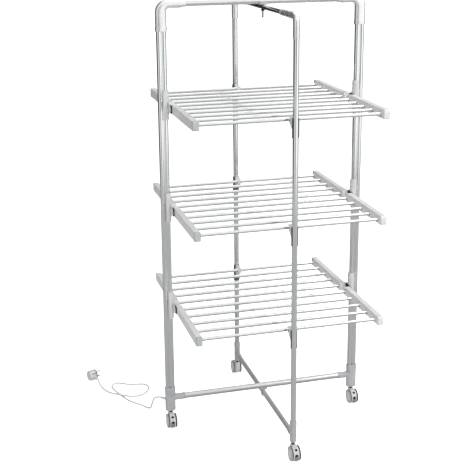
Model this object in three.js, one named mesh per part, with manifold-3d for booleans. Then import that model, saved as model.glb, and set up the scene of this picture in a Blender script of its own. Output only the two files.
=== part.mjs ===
// A free-standing heated clothes airer with three tiers of warm bars.
// A wide frame carries six hinged wings. A narrow frame, at right angles to it, swivels about the
// upright line through the middle and holds the outer bar of each wing in a rest.
// Millimetres, +Z up. The origin is on the floor at the middle of the airer; +X runs along the wide
// frame and -Y points to the front.
import * as THREE from "three";
import { mergeVertices } from "three/addons/utils/BufferGeometryUtils.js";
import Module from "manifold-3d";

const wasm = await Module();
wasm.setup();

// Driving dimensions.
const gap = 0.3; // between two pieces that touch
const overrun = 3; // how far a cutter runs past the face that it opens
const weld = 0.001; // vertices closer than this are one
const tubeWall = 1.5;

// Wide frame.
const wideLegSpacing = 670; // between leg centres
const lobeDiameter = 17; // a leg is two tubes in one, side by side
const lobeSpacing = 15;
const legGrooveWidth = 2.4;
const topRailHeight = 1450; // centre of the rail above the floor
const topRailDiameter = 20;
const lowRailHeight = 105;
const lowRailDiameter = 20;
const sleeveWall = 1.4; // of a moulding round the tube inside it
const sleevePower = 2.6; // how square a sleeve's oval is; 2 is an ellipse
const sleeveDepth = 28; // how deep a tube sits in its moulding
const wideElbowDrop = 86; // from the rail's centre down to the sleeve's mouth
const wideElbowReach = 80; // from the leg's centre out to the sleeve's mouth
const wideElbowBend = 27; // radius of the centre line
const wideSleeveDeep = 24; // front to back
const elbowArmHeight = 28;
const elbowArmDepth = 24;
const elbowCollar = 14;
const elbowCollarProud = 0.9;
const elbowRing = 8; // each of the two steps at the rail's end
const elbowRingStep = 1.3;

// Narrow frame.
const narrowLegClearance = 15; // from the outer end of a wing to the leg's centre
const narrowLegDiameter = 18;
const crossTopRailDiameter = 14;
const crossLowRailDiameter = 17;
const narrowElbowDrop = 66;
const narrowElbowReach = 135;
const narrowElbowBend = 16;
const narrowElbowDiameter = 21.6;
const narrowElbowMouth = 18.6;

// Foot mouldings.
const footBottom = 56; // above the floor
const wideFootHeight = 88;
const narrowFootHeight = 76;
const footChamfer = 6;
const footInset = 3;
const wideFootSpigot = 22;
const narrowFootSpigot = 20;
const footDepth = 24; // how deep a tube or stem sits in a foot

// Centre pivots, one between the two top rails and one between the two low rails.
const pivotPinDiameter = 6;
const pivotSaddleLength = 26;
const pivotSaddleWall = 1.8; // beside the upper rail
const pivotSaddleFloor = 2.6; // between the two rails
const pivotSaddleGrip = 7; // how far the saddle climbs the upper rail
const topPivotTail = 22;
const lowPivotTail = 6;
const pivotKnobDiameter = 13;
const pivotKnobHeight = 5;

// Wings.
const tierCount = 3;
const lowestTier = 437; // hinge line of the lowest tier above the floor
const highestTierDrop = 331; // from the top rail down to the highest hinge line
const wingReach = 320; // from the middle of the airer to the outer end of a channel
const hingeOffset = 26; // of a hinge pin from the middle of the airer
const channelInset = 32; // from a wide leg's centre in to a channel's centre
const channelWidth = 20;
const channelHeight = 30;
const channelChamfer = 2.5;
const channelNoseRadius = 6;
const barCount = 5;
const outerBarInset = 23; // of the outer bar from the end of its channel
const barDiameter = 11;
const barSeat = 8; // how deep a bar sits in the loose channel
const barCollarDiameter = 16;
const barCollarDepth = 4;
const hingePinDiameter = 8;
const hingePinReach = 10; // into a channel

// Hinge brackets on the inner lobe of a wide leg.
const bracketAbove = 58; // over the hinge line
const bracketBelow = 39;
const bracketWall = 2.2;
const bracketLugRadius = 11;
const bracketSpineDepth = 12;
const yokeThickness = 2.6;
const yokeHeight = 26;

// Rests on the narrow legs.
const restAbove = 10;
const restBelow = 50;
const restWall = 1.8;
const restWidth = 14;
const restLip = 3;
const restLipHeight = 8.5;
const restSlack = 0.8; // between the bar and the sides of its seat
const restMouth = 75; // half of the collar's opening, in degrees
const restHookTurn = 60; // how far the hook follows the bar's underside, in degrees

// Casters.
const wheelDiameter = 50;
const wheelWidth = 6;
const wheelPairWidth = 34;
const wheelTreadWidth = 3.6;
const wheelCoverDiameter = 44; // a shallow dome on the outer face
const wheelCoverRise = 1.5;
const wheelFacets = 16;
const axleDiameter = 6;
const hoodDiameter = 50; // a drum between the wheels
const hoodWidth = 20;
const hoodClearance = 5; // from the floor up to the drum's flat underside
const hoodRecessWidth = 14; // an arched pocket in the drum's trailing face
const hoodRecessDepth = 3;
const casterTrail = 15;
const stemDiameter = 10;
const stemBossDiameter = 17;
const stemBossTop = 50;

// Mains lead and plug.
const glandHeight = 95;
const glandBaseDiameter = 12;
const glandTipDiameter = 8.4;
const glandLength = 24;
const glandRings = 3;
const glandRingDepth = 4;
const glandStep = 1.4; // between the flange and the neck, and into each ring
const glandFlange = 3;
const glandTurn = 45; // of the gland from -X towards +Y, in degrees
const glandSeat = 13; // from the leg's centre to the gland's inner face
const leadDiameter = 6;
const leadSides = 8;
const leadSteps = 70;
const plugDiameter = 39;
const plugThickness = 30;
const plugCentre = [-213, 440]; // from the left leg
const plugTurn = 20; // of the pins from +X towards +Y, in degrees
const plugRound = 5;
const plugCrown = 1.7; // the step in the rounding of its back edge
const plugPinDiameter = 4.8;
const plugPinLength = 19;
const plugPinSpacing = 19;
const plugPinTip = 1.6;
const plugBossDiameter = 12;
const plugBossReach = 42; // from the plug's centre to where the lead goes in
const plugSides = 20;

// Faces round a full circle.
const barSides = 8;
const tubeSides = 16;
const arcStep = Math.PI / 8; // the most that one face of an arc turns

// Places that follow from the sizes above.
const wideLegX = wideLegSpacing / 2;
const narrowLegY = wingReach + narrowLegClearance;
const tierRise = (topRailHeight - highestTierDrop - lowestTier) / (tierCount - 1);
const lobeRadius = lobeDiameter / 2;
const legHalfWidth = lobeSpacing / 2 + lobeRadius;
const sleeveHalfWidth = legHalfWidth + gap + sleeveWall;
const sleeveHalfDepth = wideSleeveDeep / 2;
const crossTopDrop = (topRailDiameter + crossTopRailDiameter) / 2 + pivotSaddleFloor;
const crossLowDrop = (lowRailDiameter + crossLowRailDiameter) / 2 + pivotSaddleFloor;
const crossTopHeight = topRailHeight - crossTopDrop;
const crossLowHeight = lowRailHeight - crossLowDrop;
const outerBarY = wingReach - outerBarInset;
const barPitch = outerBarY / (barCount - 1 / 2);
const channelX = wideLegX - channelInset;
const channelOuter = channelX + channelWidth / 2;
const axleHeight = (wheelDiameter / 2) * Math.cos(Math.PI / wheelFacets);

// Finishes.
const finish = (color, roughness, metalness) =>
  new THREE.MeshStandardMaterial({ color, roughness, metalness });
const greyTube = () => finish(0xb4b6b9, 0.38, 0.7);
const brightTube = () => finish(0xe4e6e8, 0.3, 0.6);
const whiteMoulding = () => finish(0xe9e9e9, 0.45, 0);
const greyMoulding = () => finish(0xb9b9ba, 0.5, 0);
const channelMoulding = () => finish(0xdedcdc, 0.45, 0);
const wheelMoulding = () => finish(0x9fa0a2, 0.55, 0);
const blackMoulding = () => finish(0x1d1d1f, 0.55, 0);
const whiteLead = () => finish(0xe6e6e4, 0.6, 0);

// Solids and meshes.

function solidOf(geometry) {
  const bare = geometry.clone();
  bare.deleteAttribute("normal");
  bare.deleteAttribute("uv");
  const merged = mergeVertices(bare, weld);
  return new wasm.Manifold(
    new wasm.Mesh({
      numProp: 3,
      vertProperties: merged.attributes.position.array,
      triVerts: new Uint32Array(merged.index.array),
    }),
  );
}

function join(geometries) {
  return geometries.map(solidOf).reduce((whole, piece) => whole.add(piece));
}

function cut(whole, geometries) {
  return geometries.map(solidOf).reduce((left, cutter) => left.subtract(cutter), whole);
}

function geometryOf(solid) {
  const mesh = solid.getMesh();
  const geometry = new THREE.BufferGeometry();
  const points = new Float32Array(mesh.numVert * 3);
  for (let i = 0; i < mesh.numVert; i++)
    points.set(mesh.vertProperties.subarray(i * mesh.numProp, i * mesh.numProp + 3), i * 3);
  geometry.setAttribute("position", new THREE.BufferAttribute(points, 3));
  geometry.setIndex(new THREE.BufferAttribute(mesh.triVerts, 1));
  geometry.computeVertexNormals();
  return geometry;
}

function pieceOf(name, shape, material) {
  const geometry = shape.isBufferGeometry ? shape : geometryOf(shape);
  const mesh = new THREE.Mesh(geometry, material);
  mesh.name = name;
  return mesh;
}

function groupOf(...children) {
  const group = new THREE.Group();
  group.add(...children);
  return group;
}

function placed(object, x, y, z, turn = 0) {
  object.position.set(x, y, z);
  object.rotation.z = turn;
  return object;
}

// Turns that stand a shape up: its x and y become the named plane, its depth the third axis.
const axes = {
  x: new THREE.Vector3(1, 0, 0),
  y: new THREE.Vector3(0, 1, 0),
  z: new THREE.Vector3(0, 0, 1),
};
const sideways = new THREE.Matrix4().makeBasis(axes.y, axes.z, axes.x);
const facing = new THREE.Matrix4().makeBasis(axes.x, axes.z, axes.y.clone().negate());

// A prism of a shape along +Z, from one height to another.
function prism(shape, from, to) {
  const geometry = new THREE.ExtrudeGeometry(shape, { depth: to - from, bevelEnabled: false });
  return geometry.translate(0, 0, from);
}

// Adds an arc to an outline, in straight steps: anticlockwise when `to` is the larger angle.
function arc(outline, x, y, radius, from, to) {
  const count = Math.ceil(Math.abs(to - from) / arcStep - weld);
  for (let i = 0; i <= count; i++) {
    const angle = from + ((to - from) * i) / count;
    const place = [x + radius * Math.cos(angle), y + radius * Math.sin(angle)];
    if (i === 0 && outline.curves.length === 0) outline.moveTo(...place);
    else outline.lineTo(...place);
  }
}

// A round bar along +Z, with a flat facing each axis.
function round(diameter, from, to, sides = tubeSides) {
  const geometry = new THREE.CylinderGeometry(diameter / 2, diameter / 2, to - from, sides);
  geometry.rotateY(Math.PI / sides);
  geometry.rotateX(Math.PI / 2);
  return geometry.translate(0, 0, (from + to) / 2);
}

const alongX = (geometry, side = 1) => {
  geometry.applyMatrix4(sideways);
  return side < 0 ? geometry.rotateZ(Math.PI) : geometry;
};
const alongY = (geometry) => geometry.applyMatrix4(facing).rotateZ(Math.PI);

// A skin over rings of points, closed at both ends. Each ring has the same number of points.
function loft(rings) {
  const count = rings[0].length;
  const points = rings.flat();
  const index = [];
  for (let ring = 0; ring + 1 < rings.length; ring++) {
    for (let i = 0; i < count; i++) {
      const a = ring * count + i;
      const b = ring * count + ((i + 1) % count);
      index.push(a, b, b + count, a, b + count, a + count);
    }
  }
  const last = (rings.length - 1) * count;
  for (let i = 1; i + 1 < count; i++) {
    index.push(0, i + 1, i);
    index.push(last, last + i, last + i + 1);
  }
  return new THREE.BufferGeometry().setFromPoints(points).setIndex(index);
}

// A ring round `centre`: an oval of two half widths, squared off by `power` (2 is an ellipse).
function ovalRing(centre, across, halfAcross, along, halfAlong, power = 2, sides = tubeSides) {
  const ring = [];
  for (let i = 0; i < sides; i++) {
    const angle = ((i + 0.5) / sides) * 2 * Math.PI;
    const soften = (value) => Math.sign(value) * Math.abs(value) ** (2 / power);
    ring.push(
      centre
        .clone()
        .addScaledVector(across, halfAcross * soften(Math.cos(angle)))
        .addScaledVector(along, halfAlong * soften(Math.sin(angle))),
    );
  }
  return ring;
}

// Two side-by-side lobes with a groove between them: the outline of a wide leg.
function twinLobe() {
  const shape = new THREE.Shape();
  const half = lobeSpacing / 2;
  const open = Math.acos((legGrooveWidth / 2 - half) / lobeRadius);
  arc(shape, half, 0, lobeRadius, -open, open);
  arc(shape, -half, 0, lobeRadius, Math.PI - open, Math.PI + open);
  for (const side of [-half, half]) {
    const bore = new THREE.Path();
    arc(bore, side, 0, lobeRadius - tubeWall, 2 * Math.PI, 0);
    shape.holes.push(bore);
  }
  return shape;
}

// A slot with round ends.
function slot(halfSpacing, radius) {
  const shape = new THREE.Shape();
  arc(shape, halfSpacing, 0, radius, -Math.PI / 2, Math.PI / 2);
  arc(shape, -halfSpacing, 0, radius, Math.PI / 2, (3 * Math.PI) / 2);
  return shape;
}

// A round tube with an open bore, along +Z.
function pipe(diameter, from, to) {
  const shape = new THREE.Shape();
  arc(shape, 0, 0, diameter / 2, 0, 2 * Math.PI);
  const bore = new THREE.Path();
  arc(bore, 0, 0, diameter / 2 - tubeWall, 2 * Math.PI, 0);
  shape.holes.push(bore);
  return prism(shape, from, to);
}

// Stations of an elbow whose arms run down the -Z axis and out along +X from a corner at the origin.
// Each station is the arm's half width in the bend's plane and half depth across it.
function elbowRings(bend, stations, power = 2) {
  const rings = [];
  for (const { way, place, half, deep } of stations) {
    const angle = way === "bend" ? place * (Math.PI / 2) : way === "down" ? 0 : Math.PI / 2;
    const centre = new THREE.Vector3(bend - bend * Math.cos(angle), 0, bend * Math.sin(angle) - bend);
    if (way === "down") centre.z = -place;
    if (way === "out") centre.x = place;
    const outward = new THREE.Vector3(-Math.cos(angle), 0, Math.sin(angle));
    rings.push(ovalRing(centre, outward, half, axes.y.clone().negate(), deep, power));
  }
  return rings;
}

// Wide frame.

function wideElbow() {
  const low = { half: sleeveHalfWidth, deep: sleeveHalfDepth };
  const collar = {
    half: sleeveHalfWidth + elbowCollarProud,
    deep: sleeveHalfDepth + elbowCollarProud,
  };
  const arm = { half: elbowArmHeight / 2, deep: elbowArmDepth / 2 };
  const stepped = (count) => ({
    half: arm.half - count * elbowRingStep,
    deep: arm.deep - count * (elbowRingStep / 2),
  });
  const blend = (share) => ({
    half: low.half + (arm.half - low.half) * share,
    deep: low.deep + (arm.deep - low.deep) * share,
  });
  const bendShares = [0, 0.2, 0.4, 0.6, 0.8, 1];
  const stations = [
    { way: "down", place: wideElbowDrop, ...low },
    { way: "down", place: wideElbowDrop - elbowCollarProud, ...collar },
    { way: "down", place: wideElbowDrop - elbowCollar, ...collar },
    { way: "down", place: wideElbowDrop - elbowCollar - elbowCollarProud, ...low },
    ...bendShares.map((share) => ({ way: "bend", place: share, ...blend(share) })),
    { way: "out", place: wideElbowReach - 2 * elbowRing, ...arm },
    { way: "out", place: wideElbowReach - 2 * elbowRing + elbowRingStep / 2, ...stepped(1) },
    { way: "out", place: wideElbowReach - elbowRing, ...stepped(1) },
    { way: "out", place: wideElbowReach - elbowRing + elbowRingStep / 2, ...stepped(2) },
    { way: "out", place: wideElbowReach, ...stepped(2) },
  ];
  const body = solidOf(loft(elbowRings(wideElbowBend, stations, sleevePower)));
  const legBore = prism(
    slot(lobeSpacing / 2, lobeRadius + gap),
    -wideElbowDrop - overrun,
    -wideElbowDrop + sleeveDepth + gap,
  );
  const railBore = round(
    topRailDiameter + 2 * gap,
    wideElbowReach - sleeveDepth - gap,
    wideElbowReach + overrun,
  );
  return cut(body, [legBore, alongX(railBore)]);
}

// A foot on a leg: an upright moulding with a spigot towards +X for the low rail.
function foot({ height, half, deep, power, legBore, spigot, spigotRadius, rail, railHeight }) {
  const top = footBottom + height;
  const ring = (z, inset) =>
    ovalRing(new THREE.Vector3(0, 0, z), axes.x, half - inset, axes.y, deep - inset, power);
  const body = loft([
    ring(footBottom, footInset),
    ring(footBottom + footChamfer, 0),
    ring(top - footInset / 2, 0),
    ring(top, footInset / 2),
  ]);
  const arm = loft([
    ovalRing(new THREE.Vector3(0, 0, railHeight), axes.y, spigotRadius, axes.z, spigotRadius),
    ovalRing(
      new THREE.Vector3(half + spigot, 0, railHeight),
      axes.y,
      spigotRadius - sleeveWall / 2,
      axes.z,
      spigotRadius - sleeveWall / 2,
    ),
  ]);
  const railBore = alongX(round(rail + 2 * gap, half, half + spigot + overrun));
  railBore.translate(0, 0, railHeight);
  const stemBore = round(stemDiameter + 2 * gap, footBottom - overrun, footBottom + footDepth + gap);
  return cut(join([body, arm]), [legBore, railBore, stemBore]);
}

function wideFoot(withLead) {
  const top = footBottom + wideFootHeight;
  const body = foot({
    height: wideFootHeight,
    half: sleeveHalfWidth,
    deep: sleeveHalfDepth,
    power: sleevePower,
    legBore: prism(slot(lobeSpacing / 2, lobeRadius + gap), top - footDepth - gap, top + overrun),
    spigot: wideFootSpigot,
    spigotRadius: lowRailDiameter / 2 + gap + sleeveWall,
    rail: lowRailDiameter,
    railHeight: lowRailHeight,
  });
  return withLead ? cut(body, [glandSpotface()]) : body;
}

function narrowFoot() {
  const top = footBottom + narrowFootHeight;
  const half = narrowLegDiameter / 2 + gap + sleeveWall;
  return foot({
    height: narrowFootHeight,
    half,
    deep: half,
    power: 2,
    legBore: round(narrowLegDiameter + 2 * gap, top - footDepth - gap, top + overrun),
    spigot: narrowFootSpigot,
    spigotRadius: crossLowRailDiameter / 2 + gap + sleeveWall,
    rail: crossLowRailDiameter,
    railHeight: crossLowHeight,
  });
}

// A saddle that hangs under an upper rail along X and lets the rail below it swivel about its pin.
// The origin is the upper rail's centre.
function pivot(upperDiameter, lowerDiameter, tail) {
  const upper = upperDiameter / 2;
  const under = -upper - pivotSaddleFloor + gap;
  const lowerBottom = -upper - pivotSaddleFloor - lowerDiameter;
  const grip = new THREE.Shape();
  const half = upper + gap + pivotSaddleWall;
  grip.moveTo(-half, -upper + pivotSaddleGrip);
  grip.lineTo(-half, under + sleeveWall);
  grip.lineTo(-half + sleeveWall, under);
  grip.lineTo(half - sleeveWall, under);
  grip.lineTo(half, under + sleeveWall);
  grip.lineTo(half, -upper + pivotSaddleGrip);
  const saddle = prism(grip, -pivotSaddleLength / 2, pivotSaddleLength / 2).applyMatrix4(sideways);
  const pin = round(pivotPinDiameter, lowerBottom - pivotKnobHeight - tail, under + gap);
  const knob = round(pivotKnobDiameter, lowerBottom - gap - pivotKnobHeight, lowerBottom - gap);
  const railSpace = alongX(
    round(upperDiameter + 2 * gap, -pivotSaddleLength / 2 - overrun, pivotSaddleLength / 2 + overrun),
  );
  return cut(join([saddle, pin, knob]), [railSpace]);
}

// A rail of the narrow frame along Y, drilled for the pivot pin.
function drilledRail(diameter, length) {
  const rail = solidOf(alongY(pipe(diameter, -length / 2, length / 2)));
  const drill = round(pivotPinDiameter + 2 * gap, -diameter, diameter);
  return cut(rail, [drill]);
}

function wideFrame() {
  const legBottom = footBottom + wideFootHeight - footDepth;
  const legTop = topRailHeight - wideElbowDrop + sleeveDepth;
  const railEnd = wideLegX - wideElbowReach + sleeveDepth;
  const lowRailEnd = wideLegX - sleeveHalfWidth - gap;
  const pieces = [];
  for (const [side, name] of [
    [-1, "left"],
    [1, "right"],
  ]) {
    const turn = side < 0 ? 0 : Math.PI;
    const leg = pieceOf(`leg_${name}`, prism(twinLobe(), legBottom, legTop), greyTube());
    const elbow = pieceOf(`corner_elbow_${name}`, wideElbow(), whiteMoulding());
    const base = pieceOf(`foot_${name}`, wideFoot(side < 0), greyMoulding());
    pieces.push(placed(leg, side * wideLegX, 0, 0));
    pieces.push(placed(elbow, side * wideLegX, 0, topRailHeight, turn));
    pieces.push(placed(base, side * wideLegX, 0, 0, turn));
  }
  const topRail = alongX(pipe(topRailDiameter, -railEnd, railEnd));
  const lowRail = alongX(pipe(lowRailDiameter, -lowRailEnd, lowRailEnd));
  pieces.push(placed(pieceOf("top_rail", topRail, brightTube()), 0, 0, topRailHeight));
  pieces.push(placed(pieceOf("low_rail", lowRail, greyTube()), 0, 0, lowRailHeight));
  const topSaddle = pivot(topRailDiameter, crossTopRailDiameter, topPivotTail);
  const lowSaddle = pivot(lowRailDiameter, crossLowRailDiameter, lowPivotTail);
  const topPivot = pieceOf("top_pivot", topSaddle, greyMoulding());
  const lowPivot = pieceOf("low_pivot", lowSaddle, greyMoulding());
  pieces.push(placed(topPivot, 0, 0, topRailHeight));
  pieces.push(placed(lowPivot, 0, 0, lowRailHeight));
  return groupOf(...pieces);
}

// Narrow frame.

function narrowElbow() {
  const wide = narrowElbowDiameter / 2;
  const mouth = narrowElbowMouth / 2;
  const bendShares = [0, 0.25, 0.5, 0.75, 1];
  const stations = [
    { way: "down", place: narrowElbowDrop, half: wide, deep: wide },
    ...bendShares.map((share) => ({ way: "bend", place: share, half: wide, deep: wide })),
    { way: "out", place: narrowElbowReach - elbowRing, half: mouth, deep: mouth },
    { way: "out", place: narrowElbowReach, half: mouth, deep: mouth },
  ];
  const body = solidOf(loft(elbowRings(narrowElbowBend, stations)));
  const legBore = round(
    narrowLegDiameter + 2 * gap,
    -narrowElbowDrop - overrun,
    -narrowElbowDrop + sleeveDepth + gap,
  );
  const railBore = round(
    crossTopRailDiameter + 2 * gap,
    narrowElbowReach - sleeveDepth - gap,
    narrowElbowReach + overrun,
  );
  return cut(body, [legBore, alongX(railBore)]);
}

// A rest on a narrow leg at the origin: a snap-on collar and a hook, towards +X, that cups a bar.
function rest() {
  const inner = narrowLegDiameter / 2 + gap;
  const outer = inner + restWall;
  const open = THREE.MathUtils.degToRad(restMouth);
  const ring = new THREE.Shape();
  arc(ring, 0, 0, outer, open - Math.PI, Math.PI - open);
  arc(ring, 0, 0, inner, Math.PI - open, open - Math.PI);
  const collar = prism(ring, -restBelow, restAbove);

  const barOut = narrowLegY - outerBarY;
  const seat = barDiameter / 2 + restSlack;
  const seatHeight = restSlack - gap;
  const shell = seat + restLip;
  const hook = new THREE.Shape();
  hook.moveTo(inner + restWall / 2, restAbove);
  hook.lineTo(barOut - shell, restAbove);
  hook.lineTo(barOut - seat, restLipHeight - restLip);
  hook.lineTo(barOut - seat, seatHeight);
  arc(hook, barOut, seatHeight, seat, Math.PI, 2 * Math.PI);
  hook.lineTo(barOut + seat, restLipHeight);
  hook.lineTo(barOut + shell, restLipHeight - restLip);
  arc(hook, barOut, seatHeight, shell, 0, -THREE.MathUtils.degToRad(restHookTurn));
  hook.lineTo(inner + restWall / 2, -restBelow / 2 - seat);
  const arm = prism(hook, -restWidth / 2, restWidth / 2);
  return join([collar, arm.applyMatrix4(facing)]);
}

function narrowFrame() {
  const legBottom = footBottom + narrowFootHeight - footDepth;
  const legTop = crossTopHeight - narrowElbowDrop + sleeveDepth;
  const railLength = 2 * (narrowLegY - narrowElbowReach + sleeveDepth);
  const footHalf = narrowLegDiameter / 2 + gap + sleeveWall;
  const lowRailLength = 2 * (narrowLegY - footHalf - gap);
  const pieces = [];
  for (const [side, name] of [
    [-1, "front"],
    [1, "rear"],
  ]) {
    const turn = -side * (Math.PI / 2);
    const leg = pieceOf(`leg_${name}`, pipe(narrowLegDiameter, legBottom, legTop), greyTube());
    const elbow = pieceOf(`corner_elbow_${name}`, narrowElbow(), whiteMoulding());
    const base = pieceOf(`foot_${name}`, narrowFoot(), greyMoulding());
    pieces.push(placed(leg, 0, side * narrowLegY, 0));
    pieces.push(placed(elbow, 0, side * narrowLegY, crossTopHeight, turn));
    pieces.push(placed(base, 0, side * narrowLegY, 0, turn));
    for (let tier = 0; tier < tierCount; tier++) {
      const piece = pieceOf(`tier${tier + 1}_${name}_rest`, rest(), whiteMoulding());
      pieces.push(placed(piece, 0, side * narrowLegY, lowestTier + tier * tierRise, turn));
    }
  }
  const topRail = pieceOf("cross_top_rail", drilledRail(crossTopRailDiameter, railLength), brightTube());
  const lowRail = pieceOf("cross_low_rail", drilledRail(crossLowRailDiameter, lowRailLength), greyTube());
  pieces.push(placed(topRail, 0, 0, crossTopHeight));
  pieces.push(placed(lowRail, 0, 0, crossLowHeight));
  return groupOf(...pieces);
}

// Wings. A wing is drawn with its hinge line along X through the height zero, reaching to -Y.

// The side outline of a channel: round about its hinge pin, square with soft corners outside.
function channelOutline() {
  const half = channelHeight / 2;
  const nose = channelNoseRadius;
  const outline = new THREE.Shape();
  arc(outline, -hingeOffset, 0, half, -Math.PI / 2, Math.PI / 2);
  arc(outline, -wingReach + nose, half - nose, nose, Math.PI / 2, Math.PI);
  arc(outline, -wingReach + nose, -half + nose, nose, Math.PI, (3 * Math.PI) / 2);
  return outline;
}

function channelBlank() {
  const geometry = new THREE.ExtrudeGeometry(channelOutline(), {
    depth: channelWidth - 2 * channelChamfer,
    bevelThickness: channelChamfer,
    bevelSize: channelChamfer,
    bevelOffset: -channelChamfer,
    bevelSegments: 1,
  });
  return geometry.translate(0, 0, channelChamfer - channelWidth / 2).applyMatrix4(sideways);
}

const barPlaces = Array.from({ length: barCount }, (_, i) => -outerBarY + i * barPitch);

// A collar round each bar on a channel's inner face.
function barCollars(side) {
  return barPlaces.map((y) => {
    const collar = round(barCollarDiameter, 0, channelWidth / 2 + barCollarDepth, barSides);
    return alongX(collar, side).translate(0, y, 0);
  });
}

// The bore for a hinge pin in a channel's outer face.
function hingeBore(side) {
  const floor = channelWidth / 2 - hingePinReach - gap;
  const bore = round(hingePinDiameter + 2 * gap, floor, channelWidth);
  return alongX(bore, side).translate(0, -hingeOffset, 0);
}

// The channel at -X with the bars fixed in it.
function rack() {
  const barEnd = 2 * channelX - channelWidth / 2 + barSeat;
  const bars = barPlaces.map((y) => alongX(round(barDiameter, 0, barEnd, barSides)).translate(0, y, 0));
  return cut(join([channelBlank(), ...barCollars(1), ...bars]), [hingeBore(-1)]);
}

// The channel at +X, with a seat for the end of each bar.
function looseChannel() {
  const seats = barPlaces.map((y) => {
    const seat = round(
      barDiameter + 2 * gap,
      channelWidth / 2 - barSeat - gap,
      channelWidth + barCollarDepth,
      barSides,
    );
    return alongX(seat, -1).translate(0, y, 0);
  });
  return cut(join([channelBlank(), ...barCollars(-1)]), [...seats, hingeBore(1)]);
}

// Hinge bracket on the inner lobe of the leg, drawn for the leg at -X: +X points into the airer.
function bracket() {
  const inside = lobeRadius + gap;
  const lobe = lobeSpacing / 2;
  const outside = inside + bracketWall;
  const grip = new THREE.Shape();
  const start = legGrooveWidth;
  grip.moveTo(start, -outside);
  arc(grip, lobe, 0, outside, -Math.PI / 2, Math.PI / 2);
  grip.lineTo(start, outside);
  grip.lineTo(start, inside);
  arc(grip, lobe, 0, inside, Math.PI / 2, -Math.PI / 2);
  grip.lineTo(start, -inside);
  const wrap = prism(grip, -bracketBelow, bracketAbove);
  const legFace = lobe + inside;
  const plateFace = legFace + bracketWall;
  const plate = prism(bracketPlate(), legFace, plateFace).applyMatrix4(sideways);
  return join([wrap, plate]);
}

// The plate's outline: a spine over the leg with a lug for each hinge pin and a tapered foot.
function bracketPlate() {
  const spine = bracketSpineDepth / 2;
  const lug = bracketLugRadius;
  const shoulder = lug * 2;
  const plate = new THREE.Shape();
  plate.moveTo(spine / 2, -bracketBelow);
  plate.lineTo(spine, -bracketBelow + spine);
  plate.lineTo(spine + sleeveWall, -shoulder);
  plate.lineTo(hingeOffset - lug / 2, -lug);
  arc(plate, hingeOffset, 0, lug, -Math.PI / 2, Math.PI / 2);
  plate.lineTo(spine + sleeveWall, shoulder);
  plate.lineTo(spine, bracketAbove);
  plate.lineTo(-spine, bracketAbove);
  plate.lineTo(-spine - sleeveWall, shoulder);
  arc(plate, -hingeOffset, 0, lug, Math.PI / 2, (3 * Math.PI) / 2);
  plate.lineTo(-hingeOffset + lug / 2, -lug);
  plate.lineTo(-spine - sleeveWall, -shoulder);
  plate.lineTo(-spine, -bracketBelow + spine);
  plate.lineTo(-spine / 2, -bracketBelow);
  return plate;
}

// Black yoke on the bracket's inner face: a strap that carries the pins of both wings.
function yoke() {
  const back = lobeSpacing / 2 + lobeRadius + 2 * gap + bracketWall;
  const strap = prism(slot(hingeOffset, yokeHeight / 2), back, back + yokeThickness);
  const reach = wideLegX - channelOuter + hingePinReach;
  const pins = [-hingeOffset, hingeOffset].map((y) =>
    alongX(round(hingePinDiameter, back, reach, barSides)).translate(0, y, 0),
  );
  return join([strap.applyMatrix4(sideways), ...pins]);
}

function tier(number) {
  const name = `tier${number}`;
  const pieces = [];
  for (const [turn, face] of [
    [0, "front"],
    [Math.PI, "rear"],
  ]) {
    const barred = pieceOf(`${name}_${face}_rack`, rack(), channelMoulding());
    const loose = pieceOf(`${name}_${face}_channel`, looseChannel(), channelMoulding());
    placed(barred, -channelX, 0, 0);
    placed(loose, channelX, 0, 0);
    const wing = groupOf(barred, loose);
    wing.rotation.z = turn;
    pieces.push(wing);
  }
  for (const [side, turn, face] of [
    [-1, 0, "left"],
    [1, Math.PI, "right"],
  ]) {
    const holder = pieceOf(`${name}_bracket_${face}`, bracket(), whiteMoulding());
    const pins = pieceOf(`${name}_hinge_yoke_${face}`, yoke(), blackMoulding());
    pieces.push(placed(holder, side * wideLegX, 0, 0, turn));
    pieces.push(placed(pins, side * wideLegX, 0, 0, turn));
  }
  return placed(groupOf(...pieces), 0, 0, lowestTier + (number - 1) * tierRise);
}

// Casters. One is drawn about its swivel line, with the wheels trailing to -Y.

// The pocket's arch, over the axle's height, as a cutter that comes in along +Y.
function hoodRecess() {
  const half = hoodRecessWidth / 2;
  const arch = new THREE.Shape();
  arc(arch, 0, axleHeight, half, 0, Math.PI);
  arch.lineTo(-half, 0);
  arch.lineTo(half, 0);
  const face = -casterTrail - hoodDiameter / 2;
  const cutter = prism(arch, -hoodRecessDepth, overrun).applyMatrix4(facing);
  return cutter.translate(0, face, 0);
}

function casterHood() {
  const radius = hoodDiameter / 2;
  const flat = Math.asin((axleHeight - hoodClearance) / radius);
  const drum = new THREE.Shape();
  arc(drum, -casterTrail, axleHeight, radius, -flat, Math.PI + flat);
  const body = prism(drum, -hoodWidth / 2, hoodWidth / 2).applyMatrix4(sideways);
  const boss = round(stemBossDiameter, axleHeight, stemBossTop);
  const stem = round(stemDiameter, stemBossTop - gap, footBottom + footDepth);
  const axleBore = alongX(round(axleDiameter + 2 * gap, -hoodWidth, hoodWidth));
  axleBore.translate(0, -casterTrail, axleHeight);
  return cut(join([body, boss, stem]), [axleBore, hoodRecess()]);
}

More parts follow.
